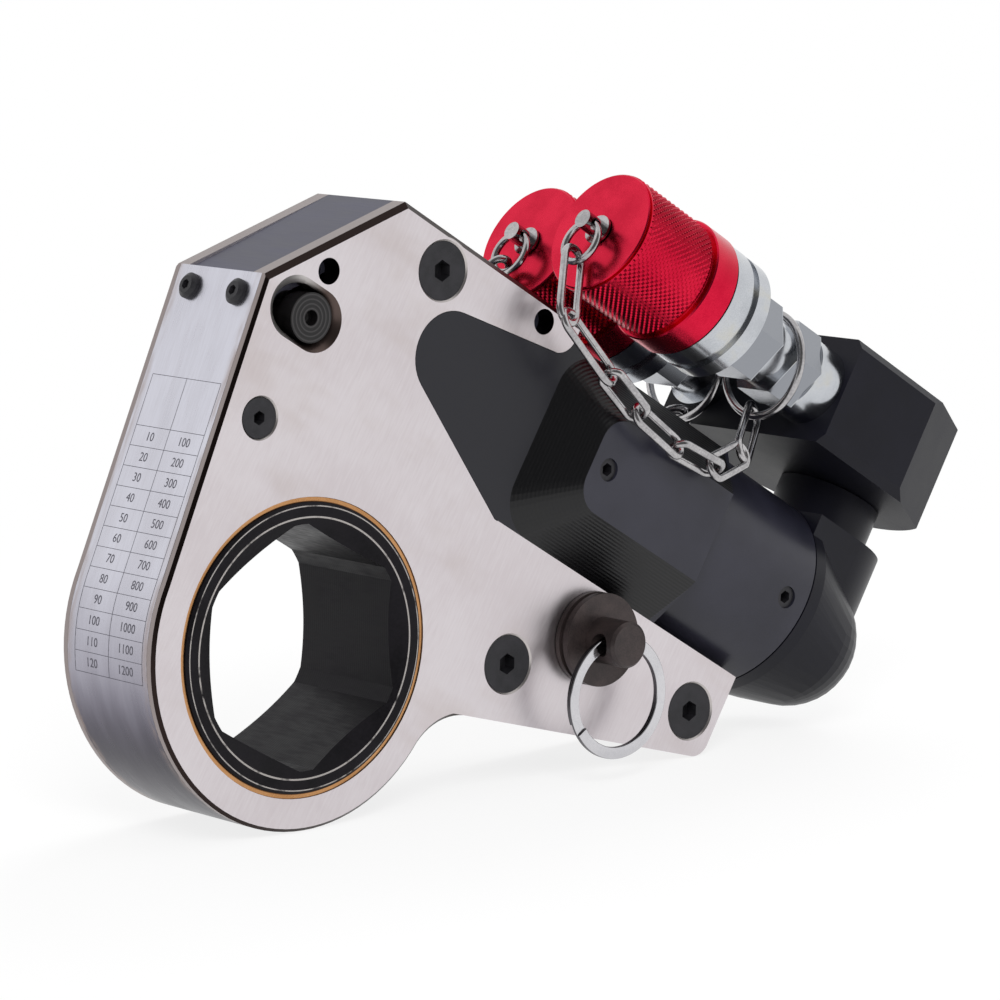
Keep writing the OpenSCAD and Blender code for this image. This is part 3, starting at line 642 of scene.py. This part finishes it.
class Look(Enum):
    """The finishes of the wrench."""

    PLATE = PlateSteel("ground_plate_steel", srgb(217, 211, 214), srgb(205, 197, 200), rough=(0.3, 0.4),
                       cloud=(40.0, 40.0, 22.0), grain=(0.5, 0.5, 5.0), relief=0.0012)
    BAND = BandSteel("wrapped_band_steel", srgb(210, 210, 220), srgb(196, 195, 204), rough=(0.26, 0.34),
                     cloud=(30.0, 8.0, 30.0), grain=(6.0, 0.4, 6.0), relief=0.0008)
    INNER = Finish("inner_machined_steel", srgb(170, 168, 166), srgb(132, 130, 130), rough=(0.3, 0.45),
                   relief=0.002)
    BRONZE = BushBronze("bronze_bush", srgb(206, 156, 108), srgb(172, 124, 80), rough=(0.25, 0.4),
                        relief=0.002)
    RATCHET = HexOxide("ratchet_black_oxide", srgb(27, 25, 29), srgb(15, 14, 17), metallic=0.4,
                       rough=(0.35, 0.55), cloud=(7.0, 7.0, 7.0), grain=(0.7, 5.0, 0.7), relief=0.02,
                       specular=0.15)
    ROOF = Finish("slate_roof_block", srgb(72, 72, 86), srgb(56, 56, 68), metallic=0.0, rough=(0.4, 0.52),
                  cloud=(5.0, 24.0, 5.0), grain=(0.35, 9.0, 0.35), relief=0.004, specular=0.3)
    SCREW = Turned("black_oxide_screws", srgb(46, 45, 49), srgb(28, 28, 31), metallic=0.4, rough=(0.35, 0.55),
                   cloud=(3.0, 3.0, 3.0), relief=0.01, pitch=0.5,
                   spots=((-7.4, 83.4), (51.5, 19.9), (105.0, 32.8), (-34.3, 35.7)))
    HEAD = BlackHead("black_anodised_head", srgb(41, 41, 52), srgb(30, 30, 40), metallic=0.0,
                     rough=(0.28, 0.36), cloud=(18.0, 18.0, 18.0), grain=(0.2, 0.2, 0.2), relief=0.05,
                     specular=0.4)
    BARREL = Finish("black_anodised_swivel", srgb(19, 19, 28), srgb(12, 12, 19), metallic=0.0,
                    rough=(0.34, 0.42), cloud=(18.0, 18.0, 18.0), grain=(0.2, 0.2, 0.2), relief=0.004,
                    specular=0.2)
    MANIFOLD = Finish("black_anodised_manifold", srgb(21, 21, 30), srgb(14, 14, 21), metallic=0.0,
                      rough=(0.4, 0.48), cloud=(15.0, 15.0, 15.0), grain=(0.2, 0.2, 0.2), relief=0.004,
                      specular=0.15)
    PIN = Turned("brown_pin_oxide", srgb(70, 60, 59), srgb(46, 40, 40), metallic=0.5, rough=(0.32, 0.45),
                 cloud=(5.0, 5.0, 5.0), relief=0.01, pitch=0.9, spots=((69.8, 34.6),))
    RELEASE = Ringed("ringed_release_pin", srgb(24, 22, 23), srgb(14, 13, 14), metallic=0.3,
                     rough=(0.35, 0.5), cloud=(3.0, 3.0, 3.0), relief=0.06)
    ZINC = Plated("zinc_plate", srgb(200, 203, 208), srgb(180, 183, 188), rough=(0.16, 0.23),
                  cloud=(9.0, 9.0, 9.0), relief=0.0002)
    RED = Finish("red_anodised_cap", srgb(222, 34, 66), srgb(196, 20, 52), rough=(0.2, 0.3),
                 cloud=(8.0, 8.0, 8.0), relief=0.0018)
    WIRE = Finish("bright_nickel_wire", srgb(190, 188, 189), srgb(156, 154, 156), rough=(0.12, 0.22),
                  cloud=(4.0, 4.0, 4.0), grain=(0.5, 0.5, 0.5), relief=0.0008)
    KEY = FlatRing("key_ring_steel", srgb(208, 207, 210), srgb(196, 195, 199), rough=(0.12, 0.2),
                   cloud=(7.0, 7.0, 7.0), grain=(0.5, 0.5, 0.5), relief=0.0008)
    RUBBER = Finish("black_seal_rubber", srgb(34, 34, 35), srgb(24, 24, 25), metallic=0.0, rough=(0.6, 0.75))
    PRINT = Finish("table_marking", srgb(96, 94, 104), srgb(78, 76, 86), metallic=0.6, rough=(0.4, 0.55),
                   relief=0.001)

    def material(self) -> bpy.types.Material:
        """Gives the material, made on first use."""
        return bpy.data.materials.get(self.value.name) or self.value.build()


NODE_LOOKS: dict[Look, tuple[str, ...]] = {
    Look.PLATE: ("near_side_plate", "far_side_plate"),
    Look.BAND: ("table_band",),
    Look.BRONZE: ("near_bush", "far_bush", "rod_gland"),
    Look.RATCHET: ("ratchet",),
    Look.ROOF: ("roof_block",),
    Look.SCREW: ("plate_screws", "pivot_screws", "band_screws", "head_set_screws"),
    Look.HEAD: ("power_head",),
    Look.BARREL: ("end_cap", "swivel_post", "post_retainer"),
    Look.MANIFOLD: ("manifold",),
    Look.PIN: ("retaining_pin",),
    Look.RELEASE: ("release_pin",),
    Look.ZINC: ("near_adapter", "near_coupler", "near_sleeve", "far_adapter", "far_coupler", "far_sleeve"),
    Look.RED: ("near_cap", "far_cap"),
    Look.WIRE: ("near_cap_stud", "far_cap_stud", "near_split_ring", "far_split_ring", "near_loop_ring",
                "far_loop_ring", "near_chain", "far_chain"),
    Look.KEY: ("key_ring",),
    Look.RUBBER: ("rod_seal", "piston_seal", "end_cap_seal", "post_seals"),
    Look.INNER: ("heel_spacer", "toe_spacer", "near_drive_plate", "far_drive_plate", "drive_pin",
                 "drive_pawl", "pawl_pin", "pawl_spring", "reaction_pawl", "pawl_pivot",
                 "reaction_spring", "piston", "piston_rod"),
}


def dress_nodes() -> None:
    """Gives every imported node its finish."""
    for look, nodes in NODE_LOOKS.items():
        for node in nodes:
            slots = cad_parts[node].data.materials
            slots.clear()
            slots.append(look.material())


def smooth(mesh: bpy.types.Mesh, angle: float) -> None:
    """Shades a mesh smooth except over its sharp edges.

    Args:
        mesh: Mesh to shade.
        angle: Angle between faces from which an edge is sharp, in degrees.
    """
    mesh.polygons.foreach_set("use_smooth", [True] * len(mesh.polygons))
    mesh.set_sharp_from_angle(angle=math.radians(angle))


def new_object(name: str, data: bpy.types.ID) -> bpy.types.Object:
    """Links a mesh, curve, lamp or camera to the scene as an object at the origin.

    Args:
        name: Object name.
        data: Its mesh or other data.

    Returns:
        The object.
    """
    made = bpy.data.objects.new(name, data)
    bpy.context.scene.collection.objects.link(made)
    return made


def lathe(profile: Sequence[Pair], steps: int = 128) -> bpy.types.Mesh:
    """Turns a closed profile round the local X axis.

    Args:
        profile: Stations along the axis and radii, in millimetres, as a closed loop off the axis.
        steps: Sides of the round.

    Returns:
        A closed mesh in metres.
    """
    made = bmesh.new()
    rows = []
    for step in range(steps):
        turn = 2.0 * math.pi * step / steps
        rows.append([made.verts.new((MM * at, MM * r * math.cos(turn), MM * r * math.sin(turn)))
                     for at, r in profile])
    count = len(profile)
    for step in range(steps):
        here, there = rows[step], rows[(step + 1) % steps]
        for i in range(count):
            after = (i + 1) % count
            made.faces.new((here[i], here[after], there[after], there[i]))
    bmesh.ops.recalc_face_normals(made, faces=made.faces)
    mesh = bpy.data.meshes.new("turned")
    made.to_mesh(mesh)
    made.free()
    return mesh


class Repeat:
    """A Geometry Nodes tree that is run once and leaves a plain mesh."""

    KINDS = {float: "NodeSocketFloat", int: "NodeSocketInt"}

    def __init__(self, name: str, sizes: dict[str, Number]) -> None:
        """Makes a tree with named inputs.

        Args:
            name: Tree name.
            sizes: Input names and their values.
        """
        self.group = bpy.data.node_groups.new(name, "GeometryNodeTree")
        self.sizes = sizes
        face = self.group.interface
        face.new_socket(name="Geometry", in_out="INPUT", socket_type="NodeSocketGeometry")
        for key, value in sizes.items():
            face.new_socket(name=key, in_out="INPUT", socket_type=self.KINDS[type(value)])
        face.new_socket(name="Geometry", in_out="OUTPUT", socket_type="NodeSocketGeometry")
        self.graph = Graph(self.group)
        self.entry = self.group.nodes.new("NodeGroupInput")

    def given(self, name: str) -> Sock:
        """Socket of a named input."""
        return Sock(self.graph, self.entry.outputs[name])

    def close(self, geometry: Sock, look: Look) -> None:
        """Ends the tree in real geometry with its material.

        Args:
            geometry: What the tree makes.
            look: Its finish.
        """
        real = self.graph.node("GeometryNodeRealizeInstances", None, {0: geometry})
        values = {"Geometry": real, "Material": look.material()}
        dressed = self.graph.node("GeometryNodeSetMaterial", None, values)
        leave = self.group.nodes.new("NodeGroupOutput")
        self.group.links.new(dressed.socket, leave.inputs[0])

    def run(self, name: str, mesh: bpy.types.Mesh) -> bpy.types.Object:
        """Runs the tree on a mesh.

        Args:
            name: Name of the object.
            mesh: Geometry that the tree starts from.

        Returns:
            An object with a plain mesh and no modifier.
        """
        made = new_object(name, mesh)
        modifier = made.modifiers.new(self.group.name, "NODES")
        modifier.node_group = self.group
        for item in self.group.interface.items_tree:
            if item.in_out == "INPUT" and item.name in self.sizes:
                modifier[item.identifier] = self.sizes[item.name]
        made.update_tag()
        shown = made.evaluated_get(bpy.context.evaluated_depsgraph_get())
        result = bpy.data.meshes.new_from_object(shown)
        made.modifiers.clear()
        made.data = result
        return made


@dataclass
class ScrewCap:
    """Red screw cap of a coupler: turned body and diamond knurl."""

    name: str
    body: str
    y: float
    shift: float = 0.0
    start: float = 25.7
    v: float = 110.5
    radius: float = 14.05
    band: float = 14.7
    length: float = 29.3
    shoulder: float = 22.0
    lid: float = 5.0
    bore: float = 12.4
    stud: float = 2.15
    knurl_start: float = 0.9
    knurl_end: float = 21.5
    depth: float = 0.5
    around: int = 62
    rows: int = 14
    crease: float = 30.0

    def profile(self) -> list[Pair]:
        """Draws the turned body under the knurl.

        Returns:
            Closed outline as stations along the axis and radii.
        """
        r, low, b, end = self.radius, self.radius - self.depth - 0.1, self.band, self.length
        first, last, step = self.knurl_start, self.knurl_end, self.shoulder
        return [
            (0.0, self.stud), (0.0, r - 0.55), (0.25, r - 0.3), (0.45, r - 0.75), (0.7, r - 0.75),
            (0.85, r - 0.1), (first + 0.15, r - 0.1), (first + 0.2, low), (last - 0.2, low),
            (last - 0.15, r - 0.35), (step, r - 0.35), (step, b - 0.3), (step + 0.3, b), (end - 0.4, b),
            (end, b - 0.4), (end, self.bore + 0.5), (end - 0.5, self.bore), (self.lid, self.bore),
            (self.lid, self.stud)]

    def tree(self) -> Repeat:
        """Wraps a grid round the cap and lifts it into pyramids.

        Returns:
            The tree that adds the knurl to the turned body.
        """
        made = Repeat(f"{self.name}_knurl", {
            "Radius": self.radius * MM, "Depth": self.depth * MM, "Start": self.knurl_start * MM,
            "Length": (self.knurl_end - self.knurl_start) * MM, "Around": self.around, "Rows": self.rows})
        g = made.graph
        around, rows = made.given("Around"), made.given("Rows")
        sheet = g.node("GeometryNodeMeshGrid", None, {
            "Size X": 1.0, "Size Y": 1.0, "Vertices X": around * 4 + 1, "Vertices Y": rows * 4 + 1}, "Mesh")
        x, y, _ = g.split(g.node("GeometryNodeInputPosition"))
        across, along = x + 0.5, y + 0.5
        first = (across * around + along * rows).wave()
        second = (across * around - along * rows).wave()
        ends = (along.low(1.0 - along) * rows * 2.0).low(1.0)
        radius = made.given("Radius") - made.given("Depth") * (1.0 - (1.0 - first.high(second)) * ends)
        turn = across * (2.0 * math.pi)
        spot = g.join(made.given("Start") + along * made.given("Length"),
                      radius * turn.math("COSINE"), radius * turn.math("SINE"))
        wrapped = g.node("GeometryNodeSetPosition", None, {"Geometry": sheet, "Position": spot})
        sealed = g.node("GeometryNodeMergeByDistance", None, {"Geometry": wrapped, "Distance": 1e-6})
        both = g.node("GeometryNodeJoinGeometry", None, {0: [sealed, made.given("Geometry")]})
        made.close(both, Look.RED)
        return made

    def build(self) -> bpy.types.Object:
        """Makes the cap and puts it on its coupler.

        Returns:
            The finished cap.
        """
        made = self.tree().run(self.name, lathe(self.profile()))
        spot = place(self.start + self.shift, self.y, self.v)
        made.data.transform(Matrix.Translation(spot) @ Matrix.Rotation(TILT, 4, "Y"))
        smooth(made.data, self.crease)
        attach(made, self.body)
        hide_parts(self.body)
        return made


@dataclass
class Chain:
    """Long-link chain between a cap's split ring and the coupler's loop."""

    name: str
    body: str
    side: float = 1.0
    shift: float = 0.0
    end_shift: float = 0.0
    spread: float = 0.0
    wire: float = 0.85
    width: float = 3.4
    lap: float = 2.7
    link_steps: int = 40
    wire_steps: int = 14
    crease: float = 60.0
    rolls: tuple[float, ...] = (0.0, 56.0, 146.0, 56.0, 146.0, 56.0, 43.0)
    route: tuple[Triple, ...] = (
        (21.6, -16.8, 103.0), (21.4, -24.0, 88.2), (36.5, -26.5, 82.0), (46.0, -28.6, 78.3),
        (59.0, -29.6, 76.5), (71.0, -29.6, 77.5), (79.5, -26.5, 85.0), (87.4, -15.7, 98.05))

    def spans(self) -> list[tuple[Vector, Vector]]:
        """Finds where the links meet.

        Returns:
            Both ends of each link in the tool frame.
        """
        last = len(self.route) - 1
        spots = []
        for i, (u, y, v) in enumerate(self.route):
            out = 0.0 if i in (0, last) else self.spread
            shift = self.end_shift if i == last else self.shift
            spots.append(Vector((u + shift, self.side * (y - out), v)))
        return list(zip(spots[:-1], spots[1:]))

    def seeds(self, inside: float) -> bpy.types.Mesh:
        """One point for each link, with its turn and its stretch.

        Args:
            inside: Length of a link that is not stretched, in millimetres.

        Returns:
            Mesh of loose points in metres.
        """
        tool = Matrix((AXIS_U, AXIS_Y, AXIS_V)).transposed()
        spots, turns, scales = [], [], []
        for i, (first, last) in enumerate(self.spans()):
            run = last - first
            lie = Matrix.Rotation(math.atan2(run.y, run.x), 3, "Z")
            lean = Matrix.Rotation(-math.atan2(run.z, math.hypot(run.x, run.y)), 3, "Y")
            roll = Matrix.Rotation(math.radians(self.side * self.rolls[i]), 3, "X")
            spots.append(place(*((first + last) / 2.0)))
            turns.append((tool @ lie @ lean @ roll).to_euler())
            scales.append((run.length + self.lap * self.wire) / inside)
        mesh = bpy.data.meshes.new(self.name)
        mesh.from_pydata(spots, [], [])
        turn = mesh.attributes.new("turn", "FLOAT_VECTOR", "POINT")
        stretch = mesh.attributes.new("stretch", "FLOAT_VECTOR", "POINT")
        for i, (angles, scale) in enumerate(zip(turns, scales)):
            turn.data[i].vector = angles
            stretch.data[i].vector = (scale, 1.0, 1.0)
        return mesh

    def tree(self, inside: float) -> Repeat:
        """Sweeps an oval link and sets it on every point.

        Args:
            inside: Length of a link over the middle of its wire, in millimetres.

        Returns:
            The tree.
        """
        half = self.width - self.wire
        made = Repeat(f"{self.name}_links", {
            "Wire": self.wire * MM, "Half Width": half * MM, "Straight": (inside - 2.0 * half) * MM})
        g = made.graph
        oval = g.node("GeometryNodeCurvePrimitiveCircle", {"mode": "RADIUS"},
                      {"Resolution": self.link_steps, "Radius": made.given("Half Width")}, "Curve")
        x, y, z = g.split(g.node("GeometryNodeInputPosition"))
        spot = g.join(x + x.math("SIGN") * made.given("Straight") * 0.5, y, z)
        path = g.node("GeometryNodeSetPosition", None, {"Geometry": oval, "Position": spot})
        wire = g.node("GeometryNodeCurvePrimitiveCircle", {"mode": "RADIUS"},
                      {"Resolution": self.wire_steps, "Radius": made.given("Wire")}, "Curve")
        link = g.node("GeometryNodeCurveToMesh", None, {"Curve": path, "Profile Curve": wire})
        kind = {"data_type": "FLOAT_VECTOR"}
        turn = g.node("GeometryNodeInputNamedAttribute", kind, {"Name": "turn"})
        stretch = g.node("GeometryNodeInputNamedAttribute", kind, {"Name": "stretch"})
        links = g.node("GeometryNodeInstanceOnPoints", None, {
            "Points": made.given("Geometry"), "Instance": link, "Rotation": turn, "Scale": stretch})
        made.close(links, Look.WIRE)
        return made

    def build(self) -> bpy.types.Object:
        """Makes the chain.

        Returns:
            The finished chain.
        """
        runs = [(last - first).length for first, last in self.spans()]
        inside = sum(runs) / len(runs) + self.lap * self.wire
        made = self.tree(inside).run(self.name, self.seeds(inside))
        smooth(made.data, self.crease)
        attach(made, self.body)
        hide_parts(self.body)
        return made


@dataclass
class KeyRing:
    """Flat two-turn split ring in the knob of the retaining pin."""

    name: str = "split_key_ring"
    body: str = "key_ring"
    hole: Triple = (77.529, -24.35, -7.646)
    radius: float = 12.25
    drop: float = 0.55
    width: float = 2.6
    leaf: float = 0.95
    gap: float = 0.06
    turns: float = 1.97
    steps: int = 96
    start: float = 200.0
    crease: float = 40.0

    def tree(self) -> Repeat:
        """Sweeps a flat wire along two turns.

        Returns:
            The tree.
        """
        made = Repeat("key_ring_coil", {
            "Radius": self.radius * MM, "Pitch": (self.leaf + self.gap) * MM, "Width": self.width * MM,
            "Leaf": self.leaf * MM})
        g = made.graph
        coil = g.node("GeometryNodeCurveSpiral", None, {
            "Resolution": self.steps, "Rotations": self.turns, "Start Radius": made.given("Radius"),
            "End Radius": made.given("Radius"), "Height": made.given("Pitch")})
        flat = g.node("GeometryNodeSetCurveNormal", {"mode": "Z_UP"}, {"Curve": coil})
        section = g.node("GeometryNodeCurvePrimitiveQuadrilateral", {"mode": "RECTANGLE"},
                         {"Width": made.given("Width"), "Height": made.given("Leaf")})
        rounded = g.node("GeometryNodeFilletCurve", {"mode": "POLY"},
                         {"Curve": section, "Count": 4, "Radius": made.given("Leaf") * 0.42})
        swept = g.node("GeometryNodeCurveToMesh", None,
                       {"Curve": flat, "Profile Curve": rounded, "Fill Caps": True})
        made.close(swept, Look.KEY)
        return made

    def build(self) -> bpy.types.Object:
        """Makes the ring and hangs it in the knob.

        Returns:
            The finished ring.
        """
        made = self.tree().run(self.name, bpy.data.meshes.new(self.name))
        low = min(v.co.z for v in made.data.vertices)
        high = max(v.co.z for v in made.data.vertices)
        made.data.transform(Matrix.Translation((0.0, 0.0, -(low + high) / 2.0)))
        spot = Vector(self.hole) + Vector((0.0, 0.0, self.drop - self.radius))
        upright = Matrix.Rotation(math.radians(90.0), 4, "X")
        turn = Matrix.Rotation(math.radians(self.start), 4, "Z")
        made.data.transform(Matrix.Translation(spot * MM) @ upright @ turn)
        smooth(made.data, self.crease)
        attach(made, self.body)
        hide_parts("key_ring")
        return made


@dataclass
class RuledTable:
    """Ruled table of plain numbers marked on the wrapped band."""

    name: str = "band_table"
    corner: Pair = (-47.3, 61.8)
    ring: float = 38.1
    lift: float = 0.02
    rule: float = 0.12
    head: float = 11.0
    first_row: float = 34.8
    row: float = 4.35
    rows: int = 12
    edges: Triple = (11.2, -0.6, -12.2)
    size: float = 2.7
    stride: float = 1.5
    parts: list[bpy.types.Mesh] = field(default_factory=list)

    def wrap(self, s: float, y: float) -> Vector:
        """Point on the band.

        Args:
            s: Distance along the band from the roof, in millimetres.
            y: Distance along the bore axis.

        Returns:
            The point in metres, just over the surface.
        """
        u, v = self.corner
        reach = math.hypot(u, v)
        straight = math.sqrt(reach * reach - self.ring * self.ring)
        angle = math.atan2(v, u) + math.acos(self.ring / reach)
        if s <= straight:
            nu, nv = math.cos(angle), math.sin(angle)
            return place(u - nv * s + nu * self.lift, y, v + nu * s + nv * self.lift)
        angle += (s - straight) / self.ring
        r = self.ring + self.lift
        return place(r * math.cos(angle), y, r * math.sin(angle))

    def strip(self, s0: float, s1: float, y0: float, y1: float) -> None:
        """Adds a thin rule with enough steps to follow the band.

        Args:
            s0: First station along the band, in millimetres.
            s1: Last station.
            y0: One side along the bore axis.
            y1: Other side.
        """
        steps = max(1, round(abs(s1 - s0) / self.stride))
        points, faces = [], []
        for i in range(steps + 1):
            s = s0 + (s1 - s0) * i / steps
            points += [self.wrap(s, y0), self.wrap(s, y1)]
        for i in range(steps):
            faces.append((2 * i, 2 * i + 1, 2 * i + 3, 2 * i + 2))
        mesh = bpy.data.meshes.new("rule")
        mesh.from_pydata(points, [], faces)
        self.parts.append(mesh)

    def number(self, text: str, s: float, y: float) -> None:
        """Adds one number centred on a cell.

        Args:
            text: Digits of the number.
            s: Middle of the cell along the band, in millimetres.
            y: Middle of the cell along the bore axis.
        """
        curve = bpy.data.curves.new("number", "FONT")
        curve.body = text
        curve.size = self.size
        curve.align_x = "CENTER"
        curve.align_y = "CENTER"
        curve.resolution_u = 3
        holder = new_object("number", curve)
        shown = holder.evaluated_get(bpy.context.evaluated_depsgraph_get())
        mesh = bpy.data.meshes.new_from_object(shown)
        for vertex in mesh.vertices:
            vertex.co = self.wrap(s - vertex.co.y, y - vertex.co.x)
        bpy.data.objects.remove(holder)
        self.parts.append(mesh)

    def build(self) -> bpy.types.Object:
        """Makes the rules and numbers as one thin piece.

        Returns:
            The finished table.
        """
        left, middle, right = self.edges
        top = self.first_row - self.head
        stations = [top] + [self.first_row + self.row * i for i in range(self.rows + 1)]
        for s in stations:
            self.strip(s - self.rule / 2, s + self.rule / 2, left, right)
        for y in self.edges:
            self.strip(top, stations[-1], y + self.rule / 2, y - self.rule / 2)
        for i in range(self.rows):
            s = self.first_row + self.row * (i + 0.5)
            self.number(str(10 * (i + 1)), s, (left + middle) / 2)
            self.number(str(100 * (i + 1)), s, (middle + right) / 2)
        made = bmesh.new()
        for part in self.parts:
            made.from_mesh(part)
        for face in made.faces:
            face.normal_update()
            # the marked side of the band looks towards -X
            if face.normal.x > 0.0:
                face.normal_flip()
        mesh = bpy.data.meshes.new(self.name)
        made.to_mesh(mesh)
        made.free()
        mesh.materials.append(Look.PRINT.material())
        piece = new_object(self.name, mesh)
        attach(piece, "link")
        return piece


@dataclass
class Studio:
    """Pale floor, soft lamps and the camera of the photograph."""

    azimuth: float = -39.884
    elevation: float = 8.7385
    roll: float = -0.6656
    lens: float = 162.73
    spot: Triple = (-0.55191, -0.73922, 0.16992)
    matt_light: float = 0.55
    dark_side: Triple = (-0.534, -0.618, 0.578)
    dark_range: Pair = (0.62, 0.86)
    dark_depth: float = 0.85
    floor_z: float = -0.0383
    floor_radius: float = 6.0
    floor_glow: float = 0.82
    shadow_middle: float = 0.05
    shadow_range: Pair = (0.12, 0.4)
    aim: Triple = (0.03, 0.0, 0.03)
    lamps: tuple[tuple[str, Triple, float, float], ...] = (
        ("key_box", (-0.5, -0.75, 0.75), 0.5, 9.0), ("rim_box", (0.7, 0.35, 0.6), 0.5, 5.0))

    def camera(self) -> None:
        """Puts the camera where the photograph was taken."""
        a, e, turn = (math.radians(value) for value in (self.azimuth, self.elevation, self.roll))
        back = Vector((math.sin(a) * math.cos(e), -math.cos(a) * math.cos(e), math.sin(e)))
        right = Vector((math.cos(a), math.sin(a), 0.0))
        up = back.cross(right)
        tilted = right * math.cos(turn) + up * math.sin(turn)
        above = up * math.cos(turn) - right * math.sin(turn)
        data = bpy.data.cameras.new("camera")
        data.lens = self.lens
        data.sensor_width = 36.0
        data.clip_start = 0.01
        made = new_object("camera", data)
        matrix = Matrix((tilted, above, back)).transposed().to_4x4()
        matrix.translation = Vector(self.spot)
        made.matrix_world = matrix
        bpy.context.scene.camera = made

    def seen(self, g: Graph) -> Sock:
        """1 for rays that the camera, a mirror or glass sends out.

        Args:
            g: Tree of the floor or the surroundings.

        Returns:
            The mask.
        """
        rays = g.node("ShaderNodeLightPath", None, None, "Is Camera Ray")
        outputs = rays.socket.node.outputs
        return rays.high(Sock(g, outputs["Is Glossy Ray"])).high(Sock(g, outputs["Is Transmission Ray"]))

    def world(self) -> None:
        """Makes white surroundings whose glossy rays find a darker patch on one side."""
        made = bpy.data.worlds.new("studio")
        bpy.context.scene.world = made
        made.use_nodes = True
        g = Graph(made.node_tree)
        g.tree.nodes.clear()
        x, y, z = g.split(g.node("ShaderNodeTexCoord", None, None, "Generated"))
        away = Vector(self.dark_side)
        facing = x * away.x + y * away.y + z * away.z
        rays = g.node("ShaderNodeLightPath", None, None, "Is Glossy Ray")
        shade = facing.rise(*self.dark_range) * rays * self.dark_depth
        strength = (self.seen(g) * (1.0 - self.matt_light) + self.matt_light) * (1.0 - shade)
        light = g.node("ShaderNodeBackground", None, {"Color": (1.0, 1.0, 1.0, 1.0), "Strength": strength})
        output = g.tree.nodes.new("ShaderNodeOutputWorld")
        g.tree.links.new(light.socket, output.inputs["Surface"])

    def floor(self) -> None:
        """Lays a pale floor that keeps a soft shadow."""
        made = bmesh.new()
        bmesh.ops.create_circle(made, cap_ends=True, segments=96, radius=self.floor_radius)
        mesh = bpy.data.meshes.new("floor")
        made.to_mesh(mesh)
        made.free()
        mesh.transform(Matrix.Translation((0.0, 0.0, self.floor_z)))
        material = bpy.data.materials.new("pale_floor")
        material.use_nodes = True
        g = Graph(material.node_tree)
        g.tree.nodes.clear()
        matt = g.node("ShaderNodeBsdfDiffuse", None, {"Color": (0.9, 0.9, 0.9, 1.0)})
        white = g.node("ShaderNodeEmission", None, {"Color": (1.0, 1.0, 1.0, 1.0), "Strength": 1.0})
        x, y, _ = g.split(g.node("ShaderNodeTexCoord", None, None, "Object"))
        across = x - self.shadow_middle
        far = (across * across + y * y).math("SQRT").rise(*self.shadow_range)
        glow = self.seen(g) * (far * (1.0 - self.floor_glow) + self.floor_glow)
        mixed = g.node("ShaderNodeMixShader", None, {0: glow, 1: matt, 2: white})
        output = g.tree.nodes.new("ShaderNodeOutputMaterial")
        g.tree.links.new(mixed.socket, output.inputs["Surface"])
        mesh.materials.append(material)
        piece = new_object("floor", mesh)

    def lamp(self, name: str, spot: Triple, size: float, power: float) -> None:
        """Hangs a square soft box that faces the wrench.

        Args:
            name: Lamp name.
            spot: Place in metres.
            size: Side of the box in metres.
            power: Power in watts.
        """
        data = bpy.data.lights.new(name, "AREA")
        data.size = size
        data.energy = power
        made = new_object(name, data)
        made.location = spot
        made.visible_glossy = False
        look = Vector(self.aim) - Vector(spot)
        made.rotation_euler = look.to_track_quat("-Z", "Y").to_euler()

    def build(self) -> None:
        """Sets up the whole studio."""
        bpy.context.scene.view_settings.view_transform = "Standard"
        self.camera()
        self.world()
        self.floor()
        for lamp in self.lamps:
            self.lamp(*lamp)


def main() -> None:
    """Dresses the wrench and sets up the picture."""
    logging.basicConfig(level=logging.INFO)
    Studio().build()
    dress_nodes()
    pieces = [
        ScrewCap("near_screw_cap", "near_cap", -16.75),
        ScrewCap("far_screw_cap", "far_cap", 16.75, shift=10.0),
        Chain("near_link_chain", "near_chain"),
        Chain("far_link_chain", "far_chain", side=-1.0, shift=10.0, end_shift=8.5, spread=1.5),
        KeyRing(),
        RuledTable(),
    ]
    for piece in pieces:
        made = piece.build()
        LOG.info("%s: %d faces", made.name, len(made.data.polygons))


if __name__ == "__main__":
    main()
